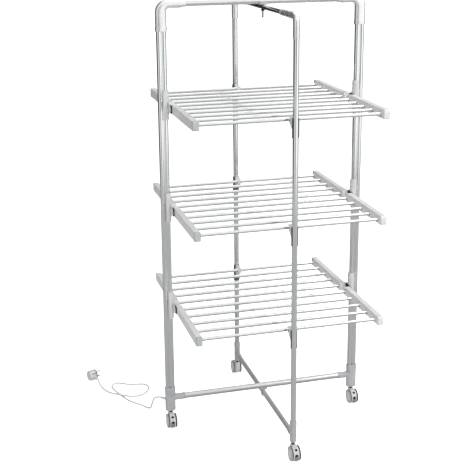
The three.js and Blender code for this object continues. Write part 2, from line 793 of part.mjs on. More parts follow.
// Both wheels and their axle, turned as one about the axle's line.
function wheelPair() {
  const edge = wheelDiameter / 2;
  const outer = wheelPairWidth / 2;
  const inner = outer - wheelWidth;
  const cover = wheelCoverDiameter / 2;
  const half = [
    [axleDiameter / 2, inner],
    [cover, inner],
    [edge, inner + (wheelWidth - wheelTreadWidth) / 2],
    [edge, inner + (wheelWidth + wheelTreadWidth) / 2],
    [cover, outer - wheelCoverRise / 2],
    [cover / 2, outer],
    [0, outer],
  ];
  const mirrored = half.map(([radius, along]) => [radius, -along]).reverse();
  const profile = [...mirrored, ...half].map(([radius, along]) => new THREE.Vector2(radius, along));
  const wheels = new THREE.LatheGeometry(profile, wheelFacets);
  wheels.rotateY(Math.PI / wheelFacets);
  return wheels.rotateZ(-Math.PI / 2);
}

function caster(name, x, y, turn) {
  const hood = pieceOf(`caster_${name}_hood`, casterHood(), greyMoulding());
  const wheels = pieceOf(`caster_${name}_wheels`, solidOf(wheelPair()), wheelMoulding());
  placed(wheels, 0, -casterTrail, axleHeight);
  return placed(groupOf(hood, wheels), x, y, 0, turn);
}

// Mains lead, drawn with the left leg's centre line at the origin. It leaves the foot through a
// gland and lies in loose loops on the floor.

const glandDirection = new THREE.Vector3(-1, 0, 0).applyAxisAngle(
  axes.z,
  -THREE.MathUtils.degToRad(glandTurn),
);
const glandRoot = new THREE.Vector3(0, 0, glandHeight).addScaledVector(glandDirection, glandSeat);

// Rings of a round piece along `way` from `root`: [how far along, diameter] for each.
function turned(root, way, stations, sides = tubeSides) {
  const across = new THREE.Vector3().crossVectors(axes.z, way);
  return loft(
    stations.map(([along, diameter]) => {
      const centre = root.clone().addScaledVector(way, along);
      return ovalRing(centre, across, diameter / 2, axes.z, diameter / 2, 2, sides);
    }),
  );
}

function gland() {
  const neck = glandBaseDiameter - glandStep;
  const stations = [
    [0, glandBaseDiameter],
    [glandFlange, glandBaseDiameter],
    [glandFlange + gap, neck],
  ];
  for (let ring = 0; ring < glandRings; ring++) {
    const start = glandFlange + ((ring + 1 / 2) / glandRings) * glandLength;
    const diameter = neck + ((glandTipDiameter - neck) * (ring + 1 / 2)) / glandRings;
    stations.push([start - glandRingDepth / 2, diameter]);
    stations.push([start - glandRingDepth / 4, diameter - glandStep]);
    stations.push([start + glandRingDepth / 4, diameter - glandStep]);
    stations.push([start + glandRingDepth / 2, diameter]);
  }
  stations.push([glandFlange + glandLength, glandTipDiameter]);
  return turned(glandRoot, glandDirection, stations);
}

// The seat of the gland in the left foot.
function glandSpotface() {
  const reach = [
    [-gap, glandBaseDiameter + 2 * gap],
    [glandLength, glandBaseDiameter + 2 * gap],
  ];
  return turned(glandRoot, glandDirection, reach);
}

// Route of the lead's centre line over the floor, from the gland to the plug.
const leadRoute = [
  [-45, 48, 86],
  [-48, 70, 66],
  [-48, 96, 38],
  [-49, 120, 14],
  [-55, 143, 4],
  [-68, 165, 3.2],
  [-87, 189, 3.2],
  [-106, 214, 3.2],
  [-120, 244, 3.2],
  [-135, 284, 3.2],
  [-146, 320, 3.2],
  [-151, 345, 3.2],
  [-145, 367, 3.2],
  [-126, 376, 3.2],
  [-105, 365, 3.2],
  [-80, 349, 3.2],
  [-53, 345, 3.2],
  [-31, 337, 3.2],
  [-20, 319, 3.2],
  [-21, 298, 3.2],
  [-32, 276, 3.2],
  [-48, 257, 3.4],
  [-69, 245, 5],
  [-92, 240, 8],
  [-114, 246, 9.8],
  [-133, 262, 9.4],
  [-149, 280, 6.4],
  [-164, 300, 3.8],
  [-177, 324, 3.2],
  [-187, 350, 4.5],
  [-194, 375, 11],
].map((point) => new THREE.Vector3(...point));

function lead() {
  const start = glandRoot.clone().addScaledVector(glandDirection, glandFlange + glandLength + gap);
  const afterStart = start.clone().addScaledVector(glandDirection, leadDiameter);
  const end = plugMiddle.clone().addScaledVector(plugEntry, plugBossReach + gap);
  const beforeEnd = end.clone().addScaledVector(plugEntry, leadDiameter);
  const route = new THREE.CatmullRomCurve3([start, afterStart, ...leadRoute, beforeEnd, end]);
  const section = new THREE.Shape();
  section.absarc(0, 0, leadDiameter / 2, 0, 2 * Math.PI, false);
  return new THREE.ExtrudeGeometry(section, {
    extrudePath: route,
    steps: leadSteps,
    curveSegments: leadSides / 2,
    bevelEnabled: false,
  });
}

// Plug: a round moulding on its side, with two pins and a boss for the lead square to them.

const plugAxis = new THREE.Vector3(1, 0, 0).applyAxisAngle(
  axes.z,
  THREE.MathUtils.degToRad(plugTurn),
);
const plugEntry = plugAxis.clone().applyAxisAngle(axes.z, -Math.PI / 2);
const plugMiddle = new THREE.Vector3(
  ...plugCentre,
  (plugDiameter / 2) * Math.cos(Math.PI / plugSides),
);

function plug() {
  const half = plugThickness / 2;
  const body = turned(
    plugMiddle,
    plugAxis,
    [
      [-half, plugDiameter - 2 * plugRound],
      [-half + plugCrown, plugDiameter - 2 * plugCrown],
      [-half + plugRound, plugDiameter],
      [half - gap, plugDiameter],
      [half, plugDiameter - 2 * gap],
    ],
    plugSides,
  );
  const boss = turned(plugMiddle, plugEntry, [
    [0, plugBossDiameter],
    [plugDiameter / 2, plugBossDiameter],
    [plugBossReach, glandTipDiameter],
  ]);
  const pins = [-1, 1].map((side) => {
    const root = plugMiddle.clone().setZ(plugMiddle.z + (side * plugPinSpacing) / 2);
    return turned(root, plugAxis, [
      [0, plugPinDiameter],
      [half + plugPinLength - plugPinTip, plugPinDiameter],
      [half + plugPinLength, plugPinDiameter - plugPinTip],
    ]);
  });
  return join([body, boss, ...pins]);
}

function mainsLead() {
  const pieces = groupOf(
    pieceOf("cord_gland", gland(), whiteLead()),
    pieceOf("cord", lead(), whiteLead()),
    pieceOf("plug", plug(), whiteLead()),
  );
  return placed(pieces, -wideLegX, 0, 0);
}

export default groupOf(
  wideFrame(),
  narrowFrame(),
  ...Array.from({ length: tierCount }, (_, i) => tier(i + 1)),
  caster("left", -wideLegX, 0, 0),
  caster("right", wideLegX, 0, 0),
  caster("front", 0, -narrowLegY, 0),
  caster("rear", 0, narrowLegY, Math.PI),
  mainsLead(),
);
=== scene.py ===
"""A heated clothes airer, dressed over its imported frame.

Metres, +Z up. The origin is on the floor under the airer's middle, +X runs along the wide frame
and -Y points to the front. The sizes of pieces and of grains are in millimetres.
"""

import logging
import math
from collections.abc import Iterable, Sequence
from dataclasses import dataclass, field
from enum import Enum

import bmesh
import bpy
from mathutils import Matrix, Vector


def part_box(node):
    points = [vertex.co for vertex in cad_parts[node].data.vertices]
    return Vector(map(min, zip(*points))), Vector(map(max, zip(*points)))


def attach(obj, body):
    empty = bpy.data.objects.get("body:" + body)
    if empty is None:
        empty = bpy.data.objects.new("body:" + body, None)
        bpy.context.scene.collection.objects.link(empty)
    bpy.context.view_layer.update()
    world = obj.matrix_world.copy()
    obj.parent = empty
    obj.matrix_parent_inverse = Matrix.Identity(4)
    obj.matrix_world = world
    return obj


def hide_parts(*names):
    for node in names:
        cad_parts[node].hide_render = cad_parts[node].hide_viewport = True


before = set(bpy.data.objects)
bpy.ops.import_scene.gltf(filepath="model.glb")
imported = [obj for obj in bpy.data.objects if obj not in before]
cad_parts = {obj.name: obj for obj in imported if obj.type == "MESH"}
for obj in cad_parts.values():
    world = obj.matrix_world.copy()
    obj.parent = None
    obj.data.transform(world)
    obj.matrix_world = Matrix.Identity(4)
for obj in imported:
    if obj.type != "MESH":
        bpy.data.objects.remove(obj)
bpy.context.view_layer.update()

LOG = logging.getLogger("airer")
MM = 0.001
TURN = 2 * math.pi
ORIGIN = Vector()
WHITE = (1.0, 1.0, 1.0, 1.0)

Ring = list[Vector]
Points = list[tuple[float, float]]
Range = tuple[float, float]
Place = tuple[float, float, float]
Face = bmesh.types.BMFace
Material = bpy.types.Material
Mesh = bpy.types.Mesh
Object = bpy.types.Object
Outputs = bpy.types.NodeOutputs
Socket = bpy.types.NodeSocket
Tree = bpy.types.NodeTree


class Axis(Enum):
    """An axis of the airer's frame."""

    X = 0
    Y = 1
    Z = 2

    @property
    def way(self) -> Vector:
        """The unit vector along the axis."""
        return Vector([float(i == self.value) for i in range(3)])

    def lift(self, u: float, v: float, w: float) -> Vector:
        """Return the point at u and v on the other two axes and at w on this one."""
        return Vector(((w, u, v), (u, w, v), (u, v, w))[self.value])


class Spot(Enum):
    """A named place on the airer, by the sign of its coordinate."""

    @property
    def word(self) -> str:
        """The place's name in the nodes of the frame."""
        return self.name.lower()

    @property
    def turn(self) -> float:
        """The turn about Z that a piece drawn for the negative place takes here."""
        return 0.0 if self.value < 0 else math.pi


class Side(Spot):
    """A side of the wide frame, on X."""

    LEFT = -1
    RIGHT = 1


class End(Spot):
    """An end of the narrow frame, on Y."""

    FRONT = -1
    REAR = 1


def linear(colour: str) -> tuple[float, float, float, float]:
    """Turn an sRGB hex colour such as #aabbcc into linear light.

    Args:
        colour: The colour, with its leading hash.

    Returns:
        Red, green, blue and an alpha of one.
    """
    shares = [int(colour[i : i + 2], 16) / 255 for i in (1, 3, 5)]
    red, green, blue = [s / 12.92 if s <= 0.04045 else ((s + 0.055) / 1.055) ** 2.4 for s in shares]
    return (red, green, blue, 1.0)


def span(node: str) -> tuple[Vector, Vector]:
    """Return the corners of a node's box, in millimetres."""
    low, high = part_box(node)
    return low / MM, high / MM


def middle(node: str) -> Vector:
    """Return the centre of a node's box, in millimetres."""
    low, high = span(node)
    return (low + high) / 2


def add(tree: Tree, kind: str, inputs: dict[int | str, object], **settings: object) -> Outputs:
    """Add a node to the tree of a material, a world or copies.

    Args:
        tree: The tree.
        kind: The node's type.
        inputs: A value, or a socket to link, for each input that is set.
        **settings: Properties of the node itself.

    Returns:
        The new node's outputs.
    """
    node = tree.nodes.new(kind)
    for key, value in settings.items():
        setattr(node, key, value)
    for key, value in inputs.items():
        if isinstance(value, Socket):
            tree.links.new(value, node.inputs[key])
        else:
            node.inputs[key].default_value = value
    return node.outputs


@dataclass(frozen=True)
class Noise:
    """Smooth noise on a surface, with its grain in millimetres.

    A squeeze under one draws the grain out along the axis.
    """

    grain: float
    detail: float = 2.0
    squeeze: float = 1.0
    axis: Axis = Axis.Y

    def lay(self, tree: Tree) -> Socket:
        """Lay the noise on a piece.

        Args:
            tree: The material's tree.

        Returns:
            The socket with the noise, from zero to one.
        """
        place = add(tree, "ShaderNodeTexCoord", {})["Object"]
        stretch = [self.squeeze if axis is self.axis else 1.0 for axis in Axis]
        place = add(tree, "ShaderNodeMapping", {"Vector": place, "Scale": stretch})[0]
        inputs = {"Vector": place, "Scale": 1 / (self.grain * MM), "Detail": self.detail}
        return add(tree, "ShaderNodeTexNoise", inputs)[0]


Layers = Iterable[tuple[Noise, float]]


@dataclass(frozen=True)
class Finish:
    """A surface finish: its two tones and its gloss."""

    name: str
    colour: str
    shade: str
    roughness: float
    metallic: float = 0.0

    def make(self) -> Material:
        """Return the material."""
        raise NotImplementedError

    def dress(
        self,
        tone: Layers,
        gloss: Noise,
        uneven: Range,
        relief: Layers,
        spread: Range = (0.35, 0.65),
        sheen: Range = (0.3, 0.7),
        dust: tuple[str, float] | None = None,
        own: dict[str, object] | None = None,
    ) -> Material:
        """Make the material from its layers of noise.

        Args:
            tone: The noise that mixes the two tones, each layer with its share.
            gloss: The noise that changes the roughness.
            uneven: How far the roughness goes below and above the finish's own.
            relief: The noise that raises the surface, each layer with its height.
            spread: The part of the tone's noise over which one tone turns into the other.
            sheen: The part of the gloss's noise over which the roughness changes.
            dust: The colour of the dust on the rougher places and how much it covers there.
            own: Values for the shader's own sockets.

        Returns:
            The material.
        """
        material = bpy.data.materials.new(self.name)
        material.use_nodes = True
        tree = material.node_tree
        surface = tree.nodes["Principled BSDF"].inputs
        total: object = 0.0
        for noise, share in tone:
            layer = {0: noise.lay(tree), 1: share, 2: total}
            total = add(tree, "ShaderNodeMath", layer, operation="MULTIPLY_ADD")[0]
        patches = add(tree, "ShaderNodeMapRange", {0: total, 1: spread[0], 2: spread[1]})[0]
        tones = {0: patches, 6: linear(self.shade), 7: linear(self.colour)}
        base = add(tree, "ShaderNodeMix", tones, data_type="RGBA")[2]
        rough = {0: gloss.lay(tree), 1: sheen[0], 2: sheen[1]}
        if dust:
            cover = add(tree, "ShaderNodeMapRange", rough | {4: dust[1]})[0]
            dusty = {0: cover, 6: base, 7: linear(dust[0])}
            base = add(tree, "ShaderNodeMix", dusty, data_type="RGBA")[2]
        tree.links.new(base, surface["Base Color"])
        rough |= {3: self.roughness - uneven[0], 4: self.roughness + uneven[1]}
        tree.links.new(add(tree, "ShaderNodeMapRange", rough)[0], surface["Roughness"])
        below: dict[str, object] = {}
        for noise, height in relief:
            bump = {"Height": noise.lay(tree), "Distance": height * MM, "Strength": 1.0}
            below = {"Normal": add(tree, "ShaderNodeBump", bump | below)[0]}
        tree.links.new(below["Normal"], surface["Normal"])
        for name, value in {"Metallic": self.metallic, **(own or {})}.items():
            surface[name].default_value = value
        return material


@dataclass(frozen=True)
class DrawnTube(Finish):
    """Clear lacquer over drawn steel tube: it mirrors the room in faint lines along the tube."""

    axis: Axis = Axis.Z
    draw: float = 0.02

    def make(self) -> Material:
        """Return the material, with flake in the lacquer and the drawing lines under it."""
        # Drawing lines and flake are taken as well under 0.1 mm wide, which is too fine to show. The
        # lines are drawn 0.5 mm wide and the flake 0.25 mm.
        lines, cloud = (Noise(size, more, self.draw, self.axis) for size, more in ((0.5, 2), (7.5, 3)))
        return self.dress(
            tone=((lines, 0.6), (cloud, 0.5)), spread=(0.35, 0.75), gloss=Noise(12, 3),
            uneven=(0.03, 0.05), relief=((lines, 0.0006), (Noise(0.25, 1), 0.0006)),
        )


@dataclass(frozen=True)
class Moulding(Finish):
    """Moulded ABS from a spark-eroded mould: an even satin over a fine pebble."""

    grain: float = 0.55
    depth: float = 0.012
    specular: float = 0.5

    def make(self) -> Material:
        """Return the material, with the texture of the mould and slow patches of sheen."""
        # Pits of spark erosion are taken as 0.1 mm, too fine to show, and are drawn 0.55 mm wide.
        return self.dress(
            tone=((Noise(24, 4), 1),), gloss=Noise(16, 3), uneven=(0.05, 0.07),
            relief=((Noise(self.grain, 3), self.depth), (Noise(18, 1), 3 * self.depth)),
            own={"Specular IOR Level": self.specular},
        )


@dataclass(frozen=True)
class PowderCoat(Finish):
    """Baked powder coat on a steel channel: a soft gloss with a slight orange peel."""

    peel: float = 1.6

    def make(self) -> Material:
        """Return the material, with peel in its relief and a thin clear coat."""
        # The peel's waves are taken as 1.6 mm. The powder's own grain is too fine to show, and is
        # drawn 0.3 mm wide.
        return self.dress(
            tone=((Noise(30, 4), 1),), gloss=Noise(20, 3), uneven=(0.05, 0.06),
            relief=((Noise(self.peel, 2), 0.02), (Noise(0.3, 1), 0.004)),
            own={"Coat Weight": 0.15, "Coat Roughness": 0.2},
        )


@dataclass(frozen=True)
class WheelRubber(Finish):
    """Moulded grey rubber: dull, with pale dust in its pores."""

    dust: str = "#cccdcd"

    def make(self) -> Material:
        """Return the material, with dust over the rubber and a worn texture."""
        # Pores are taken as 0.1 mm, too fine to show, and are drawn 0.4 mm wide.
        return self.dress(
            tone=((Noise(6, 4), 1),), spread=(0, 1), gloss=Noise(3, 6), sheen=(0.5, 0.75),
            uneven=(0, 0.25), relief=((Noise(0.4, 4), 0.03),), dust=(self.dust, 0.45),
        )


@dataclass(frozen=True)
class LeadSheath(Finish):
    """Extruded vinyl over a round lead: soft, with a faint waviness from the wires inside."""

    def make(self) -> Material:
        """Return the material, with light that sinks a little into the vinyl."""
        # The wires' waves are taken as 4 mm long. The marks of the die are too fine to show, and are
        # drawn 0.3 mm wide.
        return self.dress(
            tone=((Noise(15, 4), 1),), gloss=Noise(5, 3), uneven=(0.08, 0.06),
            relief=((Noise(4, 2), 0.05), (Noise(0.3, 2), 0.006)),
            own={"Subsurface Weight": 0.04, "Subsurface Radius": (MM, MM, MM)},
        )


@dataclass(frozen=True)
class BareMetal(Finish):
    """Plated or turned metal of pins and screws: a bright grey with fine scratches."""

    def make(self) -> Material:
        """Return the material, with its scratches and a little tarnish."""
        # Scratches are taken as 0.02 mm, too fine to show, and are drawn 0.12 mm wide.
        scratches = Noise(0.12, 2, 0.1)
        return self.dress(
            tone=((Noise(3, 4), 1),), gloss=scratches, uneven=(0.08, 0.12),
            relief=((scratches, 0.003),),
        )


class Palette:
    """Every material of the airer, made once."""

    def __init__(self) -> None:
        """Make the materials."""
        tube = dict(colour="#eff0f0", shade="#e3e4e5", roughness=0.12, metallic=1.0)
        # The satin tones are darker than the tube's: painted shade for the low rails.
        satin = dict(colour="#cdcecf", shade="#c2c3c4", roughness=0.32, metallic=0.8)
        dull = satin | {"metallic": 0.4}
        bright = dict(colour="#dedfdf", shade="#d4d5d6", roughness=0.14, metallic=0.95)
        # Lacquered steel tube: it takes the white, grey and black of the room in long lines. The low
        # rails are drawn duller and darker than the legs; their darker tone is painted shade, for the
        # dimmer light low down.
        self.leg = DrawnTube("leg_lacquer", axis=Axis.Z, **tube).make()
        self.low_rail = DrawnTube("low_rail_lacquer", axis=Axis.X, **satin).make()
        self.cross_low_rail = DrawnTube("cross_low_rail_lacquer", axis=Axis.Y, **dull).make()
        self.top_rail = DrawnTube("top_rail_lacquer", axis=Axis.X, **bright).make()
        self.cross_top_rail = DrawnTube("cross_top_rail_lacquer", axis=Axis.Y, **bright).make()
        self.bar = DrawnTube("bar_lacquer", axis=Axis.X, **bright).make()
        # Lacquered ABS: almost as bright as the tubes, but without their lines.
        self.elbow = Moulding("elbow_moulding", "#ededed", "#e4e4e5", 0.3, 0.8, depth=0.002).make()
        # Plain ABS, straight from the mould: even and satin, so that only its form shades it. It is
        # greyer in the feet and whiter in the wheels. The mid grey of the pockets is painted shade at the
        # back of the hood's recess; the same grey is the pins' sleeves' own colour.
        self.bracket = Moulding("bracket_moulding", "#e4e4e5", "#dadadc", 0.42).make()
        self.foot = Moulding("foot_moulding", "#bdbec0", "#b0b1b4", 0.46).make()
        self.hood = Moulding("hood_moulding", "#dcdddd", "#d2d3d4", 0.36).make()
        self.pocket = Moulding("pocket_moulding", "#8d8e8f", "#808182", 0.5).make()
        self.wheel = Moulding("wheel_moulding", "#ececed", "#e2e3e4", 0.42).make()
        self.collar = Moulding("rest_moulding", "#58595b", "#4b4c4e", 0.5).make()
        # Powder-coated steel: the softest and whitest face of all, with a broad highlight.
        self.channel = PowderCoat("channel_coat", "#f1f0f0", "#e9e8e8", 0.38).make()
        # ABS caps and black ABS joints: matt, so that their edges stand out on the coated steel. The
        # racks' caps are grey and the loose channels' caps white: the grey is painted shade.
        self.cap = Moulding("cap_moulding", "#c4c8c8", "#b9bdbd", 0.5).make()
        self.pale_cap = Moulding("pale_cap_moulding", "#f0f0f0", "#e6e6e6", 0.46).make()
        self.black = Moulding("black_moulding", "#161618", "#0e0e0f", 0.5, specular=0.18).make()
        # Rubber treads and a vinyl lead: dull, with no highlight that has an edge.
        self.tread = WheelRubber("tread_rubber", "#c2c3c4", "#b2b3b4", 0.7).make()
        self.sheath = LeadSheath("lead_vinyl", "#ebebeb", "#e0e0e0", 0.5).make()
        self.plug = Moulding("plug_moulding", "#e6e6e6", "#dbdbdb", 0.36).make()
        # Bright plated screws, and pins darkened with painted shade: small spots of grey between white
        # parts.
        self.screw = BareMetal("screw_metal", "#b9babc", "#8f9194", 0.3, 1.0).make()
        self.pin = BareMetal("pin_metal", "#77736a", "#5f5a50", 0.26, 1.0).make()


def arc(u: float, v: float, radius: float, start: float, stop: float, steps: int = 16) -> Points:
    """Return points along an arc.

    Args:
        u: The centre's first place.
        v: The centre's second place.
        radius: The arc's radius.
        start: Its first angle in degrees.
        stop: Its last angle in degrees.
        steps: The number of chords.

    Returns:
        The points, with both ends.
    """
    angles = [math.radians(start + (stop - start) * i / steps) for i in range(steps + 1)]
    return [(u + radius * math.cos(a), v + radius * math.sin(a)) for a in angles]


def oval(
    centre: Vector,
    across: Vector,
    half_across: float,
    along: Vector,
    half_along: float,
    power: float = 2,
    sides: int = 48,
) -> Ring:
    """Return a ring of points on an oval.

    Args:
        centre: Its middle.
        across: The direction of its first half width.
        half_across: That half width.
        along: The direction of its second half width.
        half_along: That half width.
        power: Two for an ellipse, and more for a squarer ring.
        sides: The number of points.

    Returns:
        The points, in order round the ring.
    """
    ring = []
    for i in range(sides):
        angle = TURN * i / sides
        u, v = (math.copysign(abs(x) ** (2 / power), x) for x in (math.cos(angle), math.sin(angle)))
        ring.append(centre + across * half_across * u + along * half_along * v)
    return ring


def applied(made: Object) -> Mesh:
    """Return an object's mesh, in metres, with its modifiers applied."""
    graph = bpy.context.evaluated_depsgraph_get()
    return bpy.data.meshes.new_from_object(made.evaluated_get(graph))


def link(name: str, data: bpy.types.ID) -> Object:
    """Put a new object in the scene.

    Args:
        name: The object's name.
        data: The mesh, curve, lamp or camera that it shows.

    Returns:
        The object.
    """
    made = bpy.data.objects.new(name, data)
    bpy.context.scene.collection.objects.link(made)
    return made


class Form:
    """A mesh under construction, in millimetres, made of closed shells with a material each."""

    def __init__(self) -> None:
        """Start an empty mesh."""
        self.shape = bmesh.new()
        self.materials: list[Material] = []

    def paint(self, faces: Iterable[Face], material: Material) -> None:
        """Give faces a material.

        Args:
            faces: The faces.
            material: The material, which is added if it is new to the form.
        """
        if material not in self.materials:
            self.materials.append(material)
        for face in faces:
            face.material_index = self.materials.index(material)

    def skin(self, rings: Sequence[Ring], material: Material) -> list[Face]:
        """Stretch a skin over rings of points and close both ends.

        Args:
            rings: The rings, each with the same number of points.
            material: The skin's material.

        Returns:
            The faces at the two ends.
        """
        rows = [[self.shape.verts.new(point) for point in ring] for ring in rings]
        faces = []
        for below, above in zip(rows, rows[1:]):
            for corners in zip(below, below[1:] + below[:1], above[1:] + above[:1], above):
                faces.append(self.shape.faces.new(corners))
        ends = [self.shape.faces.new(rows[0][::-1]), self.shape.faces.new(rows[-1])]
        self.paint(faces + ends, material)
        bmesh.ops.recalc_face_normals(self.shape, faces=faces + ends)
        return ends

    def turned(
        self, centre: Vector, way: Vector, profile: Points, material: Material, sides: int = 40
    ) -> None:
        """Add a round shell.

        Args:
            centre: A point on its axis.
            way: The direction of its axis.
            profile: Places along the axis from the centre, with the radius at each.
            material: Its material.
            sides: Faces round it.
        """
        way = way.normalized()
        across = way.orthogonal().normalized()
        along = way.cross(across)
        rings = [oval(centre + way * at, across, r, along, r, sides=sides) for at, r in profile]
        self.skin(rings, material)

    def plate(
        self,
        axis: Axis,
        outline: Points,
        low: float,
        high: float,
        material: Material,
        soften: float,
        steps: int = 2,
    ) -> None:
        """Add a flat piece with softened edges.

        Args:
            axis: The axis that it is square to.
            outline: Its outline on the other two axes.
            low: Where it starts along the axis.
            high: Where it ends.
            material: Its material.
            soften: The width of the softened edge round each flat face.
            steps: Faces across the softened edge.
        """
        before = set(self.shape.faces)
        ends = self.skin([[axis.lift(u, v, w) for u, v in outline] for w in (low, high)], material)
        bmesh.ops.bevel(
            self.shape, geom=list({edge for face in ends for edge in face.edges}), offset=soften,
            segments=steps, profile=0.5, affect="EDGES", clamp_overlap=True, material=-1,
        )
        self.paint(set(self.shape.faces) - before, material)

    def absorb(self, mesh: Mesh, material: Material) -> None:
        """Add the faces of a finished mesh.

        Args:
            mesh: The mesh, in metres, which is removed afterwards.
            material: The material of all its faces.
        """
        mesh.transform(Matrix.Scale(1 / MM, 4))
        before = set(self.shape.faces)
        self.shape.from_mesh(mesh)
        self.paint(set(self.shape.faces) - before, material)
        bpy.data.meshes.remove(mesh)

    def finish(self, name: str, sharp: float = 32.0) -> Object:
        """Turn the form into an object at the origin, with normals that keep its flats flat.

        Args:
            name: The object's name.
            sharp: Edges that turn more than this many degrees stay sharp.

        Returns:
            The object.
        """
        mesh = bpy.data.meshes.new(name)
        self.shape.to_mesh(mesh)
        self.shape.free()
        mesh.transform(Matrix.Scale(MM, 4))
        for material in self.materials:
            mesh.materials.append(material)
        mesh.shade_smooth()
        mesh.set_sharp_from_angle(angle=math.radians(sharp))
        made = link(name, mesh)
        modifier = made.modifiers.new("flats", "WEIGHTED_NORMAL")
        modifier.keep_sharp = True
        modifier.weight = 80
        made.data = applied(made)
        made.modifiers.clear()
        bpy.data.meshes.remove(mesh)
        return made


class CopyTree:
    """A Geometry Nodes tree that sets copies of a shape in a row or a ring."""

    def __init__(self) -> None:
        """Build the tree, with a named input for each size."""
        self.tree = tree = bpy.data.node_groups.new("row_or_ring_of_copies", "GeometryNodeTree")
        tree.is_modifier = True
        kinds = {"Shape": "Object", "Finish": "Material", "Count": "Int"}
        kinds |= {"First Place": "Vector", "Step": "Vector", "Turn": "Vector"}
        for name, kind in kinds.items():
            tree.interface.new_socket(name, in_out="INPUT", socket_type=f"NodeSocket{kind}")
        tree.interface.new_socket("Copies", in_out="OUTPUT", socket_type="NodeSocketGeometry")
        given = add(tree, "NodeGroupInput", {})
        line = {"Count": given["Count"], "Start Location": given["First Place"], "Offset": given["Step"]}
        places = add(tree, "GeometryNodeMeshLine", line)[0]
        index = add(tree, "GeometryNodeInputIndex", {})[0]
        turns = {"Vector": given["Turn"], "Scale": index}
        turn = add(tree, "ShaderNodeVectorMath", turns, operation="SCALE")[0]
        shape = add(tree, "GeometryNodeObjectInfo", {"Object": given["Shape"]})["Geometry"]
        each = {"Points": places, "Instance": shape, "Rotation": turn}
        copies = add(tree, "GeometryNodeInstanceOnPoints", each)[0]
        real = add(tree, "GeometryNodeRealizeInstances", {"Geometry": copies})[0]
        dressed = {"Geometry": real, "Material": given["Finish"]}
        add(tree, "NodeGroupOutput", {0: add(tree, "GeometryNodeSetMaterial", dressed)[0]})

    def repeat(
        self,
        form: Form,
        shape: Form,
        finish: Material,
        count: int,
        first: Vector,
        step: Vector = ORIGIN,
        turn: float = 0.0,
    ) -> None:
        """Add copies of a shape to a form.

        Args:
            form: The form that takes the copies.
            shape: The shape, drawn at the origin.
            finish: Its material.
            count: The number of copies.
            first: The place of the first one.
            step: The step from each copy to the next.
            turn: The turn about Z from each copy to the next.
        """
        drawn = shape.finish("copied_shape")
        host = link("copies", bpy.data.meshes.new("copies"))
        modifier = host.modifiers.new("copies", "NODES")
        modifier.node_group = self.tree
        values = {"Shape": drawn, "Finish": finish, "Count": count, "Turn": (0.0, 0.0, turn)}
        values |= {"First Place": tuple(first * MM), "Step": tuple(step * MM)}
        for item in self.tree.interface.items_tree:
            if item.in_out == "INPUT":
                modifier[item.identifier] = values[item.name]
        form.absorb(applied(host), finish)
        for spent in (host, drawn):
            bpy.data.objects.remove(spent)


@dataclass
class Workshop:
    """What every sub-assembly is made with."""

    palette: Palette = field(default_factory=Palette)
    copies: CopyTree = field(default_factory=CopyTree)

    def mount(
        self,
        form: Form,
        name: str,
        body: str,
        node: str,
        place: Vector = ORIGIN,
        turn: float = 0.0,
        sharp: float = 32.0,
    ) -> Object:
        """Finish a form and fix it to a body in place of its node.

        Args:
            form: The form.
            name: The piece's name.
            body: The body that carries it.
            node: The node that it stands for.
            place: Where the form's origin goes.
            turn: The form's turn about the Z axis.
            sharp: Edges that turn more than this many degrees stay sharp.

        Returns:
            The piece.
        """
        matrix = Matrix.Translation(place) @ Matrix.Rotation(turn, 4, "Z")
        bmesh.ops.transform(form.shape, matrix=matrix, verts=form.shape.verts)
        piece = form.finish(name, sharp)
        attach(piece, body)
        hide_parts(node)
        LOG.info("%s rides on %s with %d faces", name, body, len(piece.data.polygons))
        return piece


